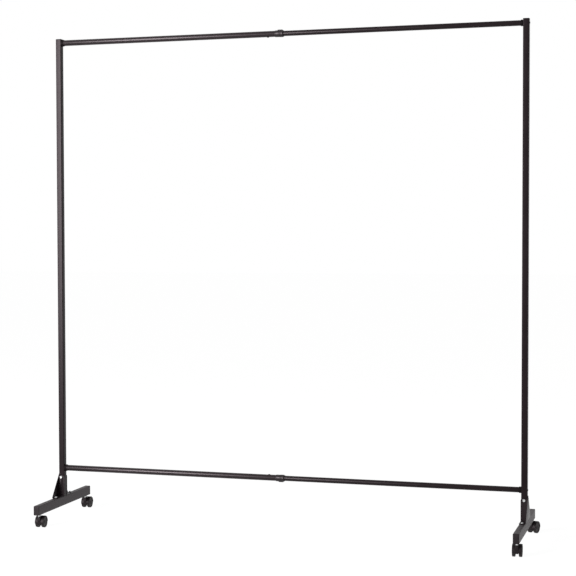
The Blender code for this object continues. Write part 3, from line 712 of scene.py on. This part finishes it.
def bolt(node, shank, place):
    """Build a hexagon bolt: its washer seats at zero and its head rises along Z."""
    head_top = WASHER + BOLT_HEAD
    plain = -shank / 2
    rings = thread(BOLT_RADIUS, -shank, plain, THREAD_PITCH, THREAD_DEPTH)
    profile = [
        (plain + THREAD_PITCH / 2, BOLT_RADIUS),
        (0, BOLT_RADIUS),
        (0, WASHER_RADIUS - WASHER_EDGE),
        (WASHER_EDGE, WASHER_RADIUS),
        (WASHER - WASHER_EDGE, WASHER_RADIUS),
        (WASHER, WASHER_RADIUS - WASHER_EDGE),
    ]
    rings += levels(profile, HEX_SIDES)
    rings.append(raised(hexagon(BOLT_HEX), WASHER))
    rings += coned(BOLT_HEX, head_top, 1)
    rings += levels([(head_top - drop, BOLT_HEX * share) for drop, share in DISH], HEX_SIDES)
    dress(node, skin(node, rings, sharp=HEX_SHARP), bolt_zinc, place)


def nut(node, thick, place):
    """Build a nut with both faces chamfered and a countersunk bore."""
    low_rim, low_crown = coned(BOLT_HEX, 0, -1)
    high_rim, high_crown = coned(BOLT_HEX, thick, 1)
    bore = BOLT_RADIUS + SEAT_GAP
    mouth = bore + NUT_SINK
    hole = [(thick, mouth), (thick - NUT_SINK, bore), (NUT_SINK, bore), (0, mouth)]
    rings = [low_crown, low_rim, high_rim, high_crown, *levels(hole, HEX_SIDES)]
    dress(node, skin(node, rings, loop=True, sharp=HEX_SHARP), zinc, place)


for side in ("left", "right"):
    node = f"{side}_post_bolt"
    low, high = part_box(node)
    centre = middle(node)
    seat = low.y + WASHER + BOLT_HEAD
    bolt(node, high.y - seat, Matrix.Translation((centre.x, seat, centre.z)) @ spin(90, "X"))
    node = f"{side}_post_nut"
    low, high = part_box(node)
    nut(node, high.y - low.y, Matrix.Translation((centre.x, low.y, centre.z)) @ ALONG_Y)
    for end, turn in BOLT_TURNS.items():
        node = f"{side}_foot_bolt_{end}"
        low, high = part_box(node)
        centre = middle(node)
        seat = high.z - WASHER - BOLT_HEAD
        place = Matrix.Translation((centre.x, centre.y, seat)) @ spin(turn, "Z")
        bolt(node, seat - low.z, place)
print("bolts built")

# %% [markdown]
# ## The telescoping bars
# The outer tube ends under the collar and the inner one runs on into it. At this scale the only
# shape a tube needs is roundness and a softened rim, so we turn each with enough sides that its
# outline never shows a facet. The solid is a many-sided bar, and its box measures across two of
# its flats, so we work back to the radius of the true circle.

# %% Build the bars
BAR_FACETS = 28
BAR_WALL = 0.0012
BAR_RIM = 0.0003
BAR_SIDES = 80
RIM_STEPS = 3
ALONG_X = spin(90, "Y")


def true_radius(width, sides):
    """Return the radius to a many-sided bar's corners, from its width across flats."""
    return width / 2 / math.cos(math.pi / sides)


def bar_radius(node):
    """Return the true outer radius of a bar's tube."""
    return true_radius(size(node).z, BAR_FACETS)


def round_tube(node, finish):
    """Build a round tube along X, from its node's box."""
    low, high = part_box(node)
    centre = middle(node)
    radius = true_radius(high.y - low.y, BAR_FACETS)
    bore = radius - BAR_WALL
    length = high.x - low.x
    corners = [(0, radius), (length, radius), (length, bore), (0, bore)]
    profile = rounded(corners, BAR_RIM, RIM_STEPS)
    place = Matrix.Translation((low.x, centre.y, centre.z)) @ ALONG_X
    dress(node, turned(node, profile, BAR_SIDES, loop=True), finish, place)


for bar in ("top", "bottom"):
    round_tube(f"{bar}_outer_tube", bar_coat)
    round_tube(f"{bar}_inner_tube", rubbed_coat)

# %% [markdown]
# ## Sockets and bar screws
# A moulded cup carries each bar's end against the post. Its mouth is rolled over, a spigot in
# its middle fills the tube's bore, and a screw from the post's far side holds it. Two cylinders
# could be joined for it, but cup and spigot share one outline, so we turn that round the bar.

# %% Shape the socket
SOCKET_FACETS = 20
SOCKET_HEEL = 0.0004
SOCKET_ROLL = 0.0007
SOCKET_BASE = 0.003
SOCKET_RING = 0.006
SCREW_RADIUS = 0.002


def socket(node, way):
    """Build a cup whose closed end sits on the post and whose mouth faces way along X."""
    low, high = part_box(node)
    centre = middle(node)
    outside = true_radius(high.z - low.z, SOCKET_FACETS)
    bar = "outer" if way > 0 else "inner"
    tube = bar_radius(f"{node.split('_')[0]}_{bar}_tube")
    cup = tube + SEAT_GAP
    spigot = tube - BAR_WALL - SEAT_GAP
    pilot = SCREW_RADIUS + SEAT_GAP
    reach = high.x - low.x
    mouth = SOCKET_BASE + SOCKET_RING
    corners = [
        (0, outside), (mouth, outside), (mouth, cup), (SOCKET_BASE, cup),
        (SOCKET_BASE, spigot), (reach, spigot), (reach, pilot), (0, pilot),
    ]
    profile = rounded(corners, [SOCKET_HEEL, SOCKET_ROLL, SOCKET_ROLL, 0, 0, SOCKET_ROLL, 0, 0])
    seat = low.x if way > 0 else high.x
    place = Matrix.Translation((seat, centre.y, centre.z)) @ spin(90 * way, "Y")
    dress(node, turned(node, profile, BAR_SIDES, loop=True), cap_nylon, place)


print("socket ready")

# %% [markdown]
# The screw has a pan head with a cross recess. We cut the recess with a Boolean from two crossed
# blades, because it has flat walls and sharp ends, which a turned outline can't give.

# %% Build the sockets and screws
SCREW_FACETS = 12
SCREW_SIDES = 48
SCREW_HEAD = 0.0018
SCREW_TIP = 0.002
TIP_SHARE = 0.6
HEAD_STEPS = 9
HEAD_BULGE = 0.6
RECESS_LONG, RECESS_WIDE, RECESS_DEEP = 0.0048, 0.0011, 0.0011
RECESS_CORNER, RECESS_OVERRUN = 0.0002, 0.0004
RECESS_FLOOR_SHARE, RECESS_MOUTH_SHARE = 0.72, 1.1


def settle(piece):
    """Apply a piece's modifiers."""
    bpy.context.view_layer.update()
    evaluated = piece.evaluated_get(bpy.context.evaluated_depsgraph_get())
    mesh = bpy.data.meshes.new_from_object(evaluated)
    piece.modifiers.clear()
    piece.data = mesh


def combine(piece, other, operation):
    """Unite another piece with this one, or cut it away."""
    settle(other)
    boolean = piece.modifiers.new("boolean", "BOOLEAN")
    boolean.operation = operation
    boolean.solver = "EXACT"
    boolean.object = other
    settle(piece)
    bpy.data.objects.remove(other)


def shade(piece):
    """Smooth a combined piece and keep its real edges sharp."""
    piece.data.shade_smooth()
    piece.data.set_sharp_from_angle(angle=math.radians(SHARP_ANGLE))


def cross_recess(piece, top):
    """Cut a cross into a head whose top is at a height along Z."""
    ends = ((RECESS_FLOOR_SHARE, top - RECESS_DEEP), (RECESS_MOUTH_SHARE, top + RECESS_OVERRUN))
    for turn in (0, 90):
        rings = []
        for share, height in ends:
            sides = (RECESS_LONG * share, RECESS_WIDE * share)
            rings.append(raised(box_outline(*sides, RECESS_CORNER, RIM_STEPS), height))
        blade = skin("blade", rings)
        blade.matrix_world = spin(turn, "Z")
        combine(piece, blade, "DIFFERENCE")
    shade(piece)


def dome(rise, radius, steps, bulge=1):
    """Return the (height, radius) pairs of a dome above its edge; less bulge is flatter on top."""
    angles = [math.pi / 2 * k / steps for k in range(1, steps)]
    return [(rise * math.sin(angle), radius * math.cos(angle) ** bulge) for angle in angles]


def screw(node, way):
    """Build a pan head screw whose head faces way along X."""
    low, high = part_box(node)
    centre = middle(node)
    head_radius = true_radius(high.z - low.z, SCREW_FACETS)
    tip = SCREW_HEAD - (high.x - low.x)
    profile = [
        (tip, SCREW_RADIUS * TIP_SHARE),
        (tip + SCREW_TIP, SCREW_RADIUS),
        (0, SCREW_RADIUS),
        (0, head_radius),
    ]
    profile += dome(SCREW_HEAD, head_radius, HEAD_STEPS, HEAD_BULGE)
    piece = turned(node, profile, SCREW_SIDES)
    cross_recess(piece, SCREW_HEAD)
    seat = (high.x if way > 0 else low.x) - way * SCREW_HEAD
    place = Matrix.Translation((seat, centre.y, centre.z)) @ spin(90 * way, "Y")
    dress(node, piece, coat, place)


for bar in ("top", "bottom"):
    socket(f"{bar}_socket_left", 1)
    socket(f"{bar}_socket_right", -1)
    screw(f"{bar}_screw_left", -1)
    screw(f"{bar}_screw_right", 1)
print("sockets and screws built")

# %% [markdown]
# ## Twist collars
# The collar grips the inner tube when it is turned. Its sleeve is smooth over the outer tube, a
# band of fine grip ribs stands near its end, and a raised pad takes the thumb. The ribs are part
# of the turned shape: the radius ripples with angle, and each station says by how much. Ribs
# joined on one by one would look the same, but would be 36 more pieces to keep in place.

# %% Shape the collar
COLLAR_SIDES = 144
COLLAR_RIBS = 36
RIB_DEPTH = 0.00030
COLLAR_WALL = 0.0012
COLLAR_BACK, COLLAR_FRONT = -0.027, 0.010
COLLAR_STEP = 0.0013
SLEEVE_EDGE, SLEEVE_BEND = 0.0006, 0.0002
BAND_BACK, BAND_FRONT = -0.008, 0.006
BAND_RISE, BAND_RAMP = 0.0005, 0.0005
BAND_EDGE, BAND_CHAMFER = 0.0004, 0.0003
RIBS_START, RIBS_FULL = 0.0012, 0.0022
NOSE_EDGE, NOSE_RISE, NOSE_CHAMFER = 0.0005, 0.0002, 0.0003


def ribbed(radius, share):
    """Return a circle whose radius dips between ribs by a share of their depth."""
    points = []
    for k in range(COLLAR_SIDES):
        angle = math.tau * k / COLLAR_SIDES
        dip = RIB_DEPTH * share * (0.5 - 0.5 * math.cos(COLLAR_RIBS * angle))
        points.append(polar(radius - dip, angle))
    return points


def collar(name, tube):
    """Build a collar along Z over a tube of some radius, with its nose forward."""
    bore = tube + SEAT_GAP
    sleeve = bore + COLLAR_WALL
    band = sleeve + BAND_RISE
    nose_bore = tube - BAR_WALL
    nose = nose_bore + COLLAR_WALL
    stations = [
        (COLLAR_BACK, sleeve - SLEEVE_EDGE, 0),
        (COLLAR_BACK + SLEEVE_BEND, sleeve - SLEEVE_BEND, 0),
        (COLLAR_BACK + SLEEVE_EDGE, sleeve, 0),
        (BAND_BACK - BAND_RAMP, sleeve, 0), (BAND_BACK, band, 0),
        (BAND_BACK + RIBS_START, band, 0), (BAND_BACK + RIBS_FULL, band, 1),
        (BAND_FRONT - RIBS_FULL, band, 1), (BAND_FRONT - RIBS_START, band, 0),
        (BAND_FRONT - BAND_EDGE, band, 0), (BAND_FRONT, band - BAND_CHAMFER, 0),
        (COLLAR_FRONT - NOSE_EDGE, nose + NOSE_RISE, 0), (COLLAR_FRONT, nose - NOSE_CHAMFER, 0),
        (COLLAR_FRONT, nose_bore, 0), (COLLAR_STEP, nose_bore, 0),
        (COLLAR_STEP, bore, 0), (COLLAR_BACK, bore, 0),
    ]
    rings = [raised(ribbed(radius, ribs), height) for height, radius, ribs in stations]
    return skin(name, rings, loop=True)


print("collar ready")

# %% [markdown]
# The thumb pad stands on the band and rides on the same body as its collar. It is a piece of its
# own, because the turned skin has no room for a flat-sided block.

# %% Build the collars and pads
PAD_LENGTH, PAD_WIDTH, PAD_RISE = 0.022, 0.008, 0.0018
PAD_CORNER_SHARE = 0.3
PAD_SETBACK = 0.001
PAD_ROOT = -0.0008
PAD_SHAPE = ((1, 0.25), (0.97, 0.6), (0.90, 0.88), (0.80, 1.0), (0.5, 1.0))


def pad(name, outward, band):
    """Build a thumb pad along X that rises outward along Z from a band's radius."""
    length_middle = BAND_FRONT - PAD_SETBACK - PAD_LENGTH / 2
    rings = []
    for share, lift in [(1, PAD_ROOT)] + [(share, rise * PAD_RISE) for share, rise in PAD_SHAPE]:
        corner = PAD_WIDTH * PAD_CORNER_SHARE * share
        outline = box_outline(PAD_LENGTH * share, PAD_WIDTH * share, corner)
        rings.append([(u + length_middle, v, outward * (band + lift)) for u, v in outline])
    return skin(name, rings)


for bar, outward in (("top", 1), ("bottom", -1)):
    node = f"{bar}_collar"
    tube = bar_radius(f"{bar}_outer_tube")
    place = Matrix.Translation((0, 0, middle(f"{bar}_outer_tube").z))
    dress(node, collar(node, tube), collar_nylon, place @ ALONG_X)
    thumb = pad(node + "_pad", outward, tube + SEAT_GAP + COLLAR_WALL + BAND_RISE)
    thumb.matrix_world = place
    thumb.data.materials.append(collar_nylon)
    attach(thumb, f"lock_{bar}")
print("collars and pads built")

# %% [markdown]
# ## Stop buttons
# A small domed rivet on each outer tube limits its travel. A quarter of an ellipse turned round
# gives the dome. A scaled sphere would do too, but would hide half of itself in the tube.

# %% Build the stop buttons
BUTTON_FACETS = 12
BUTTON_STEPS = 8
BUTTON_ROOT = -0.001
BUTTON_STEM_SHARE = 0.4


def button(node, toward):
    """Build a domed button whose head faces toward along Z."""
    low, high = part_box(node)
    centre = middle(node)
    tube = node.replace("stop_button", "outer_tube")
    radius = true_radius(high.x - low.x, BUTTON_FACETS)
    seat = middle(tube).z + toward * (bar_radius(tube) + SEAT_GAP)
    rise = abs((high.z if toward > 0 else low.z) - seat)
    stem = radius * BUTTON_STEM_SHARE
    profile = [(BUTTON_ROOT, stem), (0, stem), (0, radius), *dome(rise, radius, BUTTON_STEPS)]
    turn = spin(0 if toward > 0 else 180, "X")
    place = Matrix.Translation((centre.x, centre.y, seat)) @ turn
    dress(node, turned(node, profile, SCREW_SIDES), coat, place)


button("top_stop_button", -1)
button("bottom_stop_button", 1)
print("buttons built")

# %% [markdown]
# ## Caster wheels
# A furniture caster has two narrow wheels on one axle. Each is moulded with rounded shoulders, a
# dished face and a raised hub. We turn the profile round the wheel's own origin, so that the
# dust mask of its finish can read the distance to the axle.

# %% Build the wheels
WHEEL_RADIUS = 0.02375
WHEEL_SIDES = 96
WHEEL_INNER, WHEEL_FACE = 0.0070, 0.0193
AXLE_BORE = 0.0033
GROOVE_MOUTH, GROOVE_FLOOR, GROOVE_DEPTH = (0.0090, 0.0195), (0.0105, 0.0180), 0.0012
RIM_WIDTH = 0.004
DISH_DEPTH = 0.0018
HUB_FOOT, HUB_TOP, HUB_DROP = 0.0078, 0.0066, 0.0004
DIMPLE_TOP, DIMPLE_FOOT, DIMPLE_DROP = 0.0036, 0.0030, 0.0009
COVER_RADIUS, COVER_THICK = 0.0004, 0.0035
SHOULDER, RIM_ROUND, DISH_ROUND = 0.0020, 0.0004, 0.0006
FINE_ROUND, DIMPLE_ROUND = 0.0003, 0.0002
ROUND_STEPS = 4
PLACES = [f"{side}_{end}" for side in ("left", "right") for end in ("front", "rear")]


def wheel_profile():
    """Return (distance along the axle, radius) pairs, from the bore outward and back."""
    inner, face, rim = WHEEL_INNER, WHEEL_FACE, WHEEL_RADIUS - RIM_WIDTH
    floor = inner + GROOVE_DEPTH
    rows = [
        (inner, AXLE_BORE, 0),
        (inner, GROOVE_MOUTH[0], RIM_ROUND),
        (floor, GROOVE_FLOOR[0], FINE_ROUND),
        (floor, GROOVE_FLOOR[1], FINE_ROUND),
        (inner, GROOVE_MOUTH[1], FINE_ROUND),
        (inner, WHEEL_RADIUS, SHOULDER),
        (face, WHEEL_RADIUS, SHOULDER),
        (face, rim, RIM_ROUND),
        (face - DISH_DEPTH, rim - DISH_DEPTH, DISH_ROUND),
        (face - DISH_DEPTH, HUB_FOOT, DISH_ROUND),
        (face - HUB_DROP, HUB_TOP, RIM_ROUND),
        (face - HUB_DROP, DIMPLE_TOP, DIMPLE_ROUND),
        (face - DIMPLE_DROP, DIMPLE_FOOT, DIMPLE_ROUND),
        (face - DIMPLE_DROP, COVER_RADIUS, 0),
        (face - COVER_THICK, COVER_RADIUS, 0),
        (face - COVER_THICK, AXLE_BORE, 0),
    ]
    return rounded([row[:2] for row in rows], [row[2] for row in rows], ROUND_STEPS)


def joint_of(node):
    """Return the joint that moves a node's body."""
    body = frame["nodes"][node]["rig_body"]
    return next(joint for joint in frame["joints"] if joint["child"] == body)


def wheel(node, way):
    """Build a wheel on its axle's line, its face turned way; return its turn and its place."""
    joint = joint_of(node)
    axis = Vector(joint["axis"])
    angle = math.degrees(math.atan2(axis.y, axis.x))
    piece = turned(node, wheel_profile(), WHEEL_SIDES, loop=True)
    piece.data.transform(spin(90 * way, "Y"))
    place = Matrix.Translation(joint["pos_m"]) @ spin(angle, "Z")
    dress(node, piece, wheel_nylon, place)
    return angle, joint["pos_m"]


axles = {}
for place_name in PLACES:
    wheel(f"caster_{place_name}_wheel_left", -1)
    axles[place_name] = wheel(f"caster_{place_name}_wheel_right", 1)
print("wheels turned by", {name: round(angle, 1) for name, (angle, _) in axles.items()})

# %% [markdown]
# ## Caster hoods
# The hood is one moulding: a fender over both wheels, a web between them, and a boss for the
# stem. We build each form with its edges already rounded, then join them with a Boolean union,
# so that the meeting lines stay crisp and the rims stay soft.

# %% Build the hoods
TRAIL = 0.022
FENDER_INNER = WHEEL_RADIUS + 0.0009
FENDER_OUTER = FENDER_INNER + 0.0016
FENDER_HALF = 0.0193
FENDER_FROM, FENDER_TO = -4, 190
FENDER_STEPS = 48
FENDER_LIP, FENDER_ROUND = 0.0002, 0.0013
WEB_HALF = 0.0064
WEB_EDGE = 0.0010
WEB_RADIUS = FENDER_INNER + 0.0008
WEB_HUB = 0.0085
WEB_REAR, WEB_TOP, WEB_FRONT, WEB_END = -21, 90, 186, 201
HUB_FROM, HUB_TO = 215, 325
TOP_STEPS, END_STEPS, HUB_STEPS = 32, 6, 16
HUMP_FRONT, HUMP_DROP, HUMP_DEPTH = 0.0284, 0.0009, 0.017
HUMP_ROUND, HUMP_STEPS = 0.003, 6
BOSS_RADIUS, BOSS_DEPTH, BOSS_EDGE = 0.008, 0.003, 0.0006
PIN_BORE, PIN_BORE_DEPTH, BORE_OVERRUN, BORE_SIDES = 0.0043, 0.015, 0.002, 48


def arc(radius, start, stop, steps):
    """Return points of an arc in degrees."""
    angles = [math.radians(start + (stop - start) * k / steps) for k in range(steps + 1)]
    return [polar(radius, angle) for angle in angles]


def fender(axle_z):
    """Build the curved shell over both wheels."""
    corners = [
        (-FENDER_HALF, FENDER_INNER), (-FENDER_HALF, FENDER_OUTER),
        (FENDER_HALF, FENDER_OUTER), (FENDER_HALF, FENDER_INNER),
    ]
    section = rounded(corners, [FENDER_LIP, FENDER_ROUND, FENDER_ROUND, FENDER_LIP])
    rings = []
    for k in range(FENDER_STEPS + 1):
        angle = math.radians(FENDER_FROM + (FENDER_TO - FENDER_FROM) * k / FENDER_STEPS)
        points = [(x, *polar(radius, angle)) for x, radius in section]
        rings.append([(x, TRAIL + u, axle_z + v) for x, u, v in points])
    return skin("fender", rings)


def web(boss_top, axle_z):
    """Build the plate between the wheels, with the hump in front that carries the stem."""
    hump_top = boss_top - HUMP_DROP - axle_z
    back, front = arc(WEB_RADIUS, WEB_TOP, WEB_FRONT, 1)
    corners = [back, (-HUMP_FRONT, hump_top), (-HUMP_FRONT, hump_top - HUMP_DEPTH), front]
    hump = rounded(corners, [0, HUMP_ROUND, HUMP_ROUND, 0], HUMP_STEPS)
    outline = arc(WEB_RADIUS, WEB_REAR, WEB_TOP, TOP_STEPS) + hump[1:-1]
    outline += arc(WEB_RADIUS, WEB_FRONT, WEB_END, END_STEPS)
    outline += arc(WEB_HUB, HUB_FROM, HUB_TO, HUB_STEPS)
    sides = [[(x, u + TRAIL, v + axle_z) for u, v in outline] for x in (-WEB_HALF, WEB_HALF)]
    plate = skin("web", sides)
    soften_edges(plate, WEB_EDGE)
    return plate


def hood_mesh(boss_top, axle_z):
    """Build one hood round the stem's axis, with its axle behind at the trail."""
    shell = fender(axle_z)
    combine(shell, web(boss_top, axle_z), "UNION")
    under = boss_top - BOSS_DEPTH
    corners = [(under, 0.0), (under, BOSS_RADIUS), (boss_top, BOSS_RADIUS), (boss_top, 0.0)]
    rim = rounded(corners, [0, BOSS_EDGE, BOSS_EDGE, 0], ROUND_STEPS)[1:-1]
    combine(shell, turned("boss", rim), "UNION")
    hole = [(boss_top - PIN_BORE_DEPTH, PIN_BORE), (boss_top + BORE_OVERRUN, PIN_BORE)]
    combine(shell, turned("bore", hole, BORE_SIDES), "DIFFERENCE")
    shade(shell)
    return shell


_, axle = axles[PLACES[0]]
master = hood_mesh(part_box(f"caster_{PLACES[0]}_hood")[1].z, Vector(axle).z)
for place_name, (angle, _) in axles.items():
    node = f"caster_{place_name}_hood"
    x, y, _ = joint_of(node)["pos_m"]
    piece = bpy.data.objects.new(node, master.data.copy())
    bpy.context.scene.collection.objects.link(piece)
    dress(node, piece, hood_nylon, Matrix.Translation((x, y, 0)) @ spin(angle, "Z"))
bpy.data.objects.remove(master)
print("hoods built")

# %% [markdown]
# ## Caster stems
# The stem is zinc-plated steel: a thread into the foot, a hexagon for the spanner under it, a
# short neck, and a pin that the hood turns on. It could be joined from cylinders, but one skin of
# level rings leaves no hidden faces inside, and the bolts' hexagon and thread serve here too.

# %% Build the stems
STEM_RADIUS = 0.005
STEM_NECK = 0.0055
STEM_HEX = 0.014
STEM_HEX_HEIGHT = 0.0035
STEM_RUNOUT, STEM_PITCH, STEM_DEPTH = 0.001, 0.0015, 0.0007
PIN_RADIUS = 0.004
PIN_DEPTH = 0.0135


def stem(node):
    """Build a stem along Z; its hexagon's top seats under the foot."""
    low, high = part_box(node)
    centre = middle(node)
    neck = low.z + PIN_DEPTH
    neck_top = neck + STEM_NECK
    under = neck_top + STEM_HEX_HEIGHT
    pin = [(low.z, PIN_RADIUS), (neck, PIN_RADIUS)]
    rings = levels(pin + [(neck, STEM_RADIUS), (neck_top, STEM_RADIUS)], HEX_SIDES)
    rings += reversed(coned(STEM_HEX, neck_top, -1))
    rings += coned(STEM_HEX, under, 1)
    rings += levels([(under, STEM_RADIUS)], HEX_SIDES)
    rings += thread(STEM_RADIUS, under + STEM_RUNOUT, high.z, STEM_PITCH, STEM_DEPTH)
    piece = skin(node, rings, sharp=HEX_SHARP)
    dress(node, piece, zinc, Matrix.Translation((centre.x, centre.y, 0)))


for place_name in PLACES:
    stem(f"caster_{place_name}_stem")
print("stems built")

# %% [markdown]
# ## Pieces that stay as they are
# The axles and the plugs inside the bars are hidden and already true, so only their finish
# changes. Any solid that no finer surface stands for is dressed here, so none is forgotten.

# %% Finish what is left
for node, solid in frame["nodes"].items():
    if solid.hide_render:
        continue
    solid.data.materials.clear()
    solid.data.materials.append(zinc if SLOTS[node] == "zinc" else cap_nylon)
    print("kept", node)

# %% [markdown]
# ## The floor
# The photograph shows the frame against pure white. The white comes from what a ray sees: a
# Light Path node shows the camera, mirrors and glass a nearly plain white floor. The rest of
# what they see is the lit floor, which keeps the object's shadow. All other rays meet the lit
# floor alone, so the floor throws no extra light on the object.

# %% Set the floor
FLOOR_HALF = 40.0
FLOOR_TOP, FLOOR_UNDER = -0.0002, -0.1
FLOOR_GREY = 0.85
FLOOR_ROUGH = 0.9
FLOOR_SHOWN = 0.86
FLOOR_WHITE = 1.12


def grey(value):
    """Return a neutral colour."""
    return (value, value, value, 1)


def shown(tree):
    """Return 1 on rays from the camera, a mirror or glass, and 0 on all others."""
    rays = tree.make("LightPath", output="Is Camera Ray")
    for kind in ("Is Glossy Ray", "Is Transmission Ray"):
        rays = rays + tree.make("LightPath", output=kind)
    return rays


floor_material, tree, shader = material("pale_floor")
share = shown(tree)
output = next(n for n in floor_material.node_tree.nodes if n.type == "OUTPUT_MATERIAL")
connect(shader, Base_Color=grey(FLOOR_GREY), Roughness=FLOOR_ROUGH)
white = tree.make("Emission", None, {"Color": grey(1.0), "Strength": FLOOR_WHITE})
lit = Wire(floor_material.node_tree, shader.outputs[0])
mixed = tree.make("MixShader", None, {0: share * FLOOR_SHOWN, 1: lit, 2: white})
floor_material.node_tree.links.new(mixed.socket, output.inputs["Surface"])
half = FLOOR_HALF
corners = [(-half, -half), (half, -half), (half, half), (-half, half)]
floor = skin("floor", [raised(corners, z) for z in (FLOOR_UNDER, FLOOR_TOP)])
floor.data.materials.append(floor_material)
print("floor shown at", FLOOR_SHOWN)

# %% [markdown]
# ## Sky and lamps
# The sky is white to the same rays and a soft grey to everything else, so that it fills the
# shade without flattening it. Two tall soft lamps to the front left give the posts and bars their
# sheen. A lamp's size matters more than its power: it has to be tall enough to run the whole
# length of a post, and narrow enough to leave the rest of the tube dark.

# %% Set the sky and the lamps
SKY_LIGHT = 0.16

world = bpy.data.worlds.new("studio")
world.use_nodes = True
bpy.context.scene.world = world
sky = Wire(world.node_tree)
level = shown(sky).blend(grey(SKY_LIGHT), grey(1.0))
background = next(n for n in world.node_tree.nodes if n.type == "BACKGROUND")
world.node_tree.links.new(level.socket, background.inputs["Color"])


def lamp(name, place, target, power, width, height):
    """Place a soft rectangular lamp that looks at a target."""
    made = bpy.data.objects.new(name, bpy.data.lights.new(name, "AREA"))
    made.data.shape = "RECTANGLE"
    made.data.size = width
    made.data.size_y = height
    made.data.energy = power
    bpy.context.scene.collection.objects.link(made)
    aim = (Vector(target) - Vector(place)).to_track_quat("-Z", "Y")
    made.matrix_world = Matrix.Translation(place) @ aim.to_matrix().to_4x4()


lamp("front_left_softbox", (-3.2, -5.5, 2.2), (-0.9, 0, 1.3), power=575, width=1.9, height=3.6)
lamp("front_softbox", (-1.45, -5.9, 2.2), (-0.3, 0, 1.3), power=70, width=1.5, height=3.6)
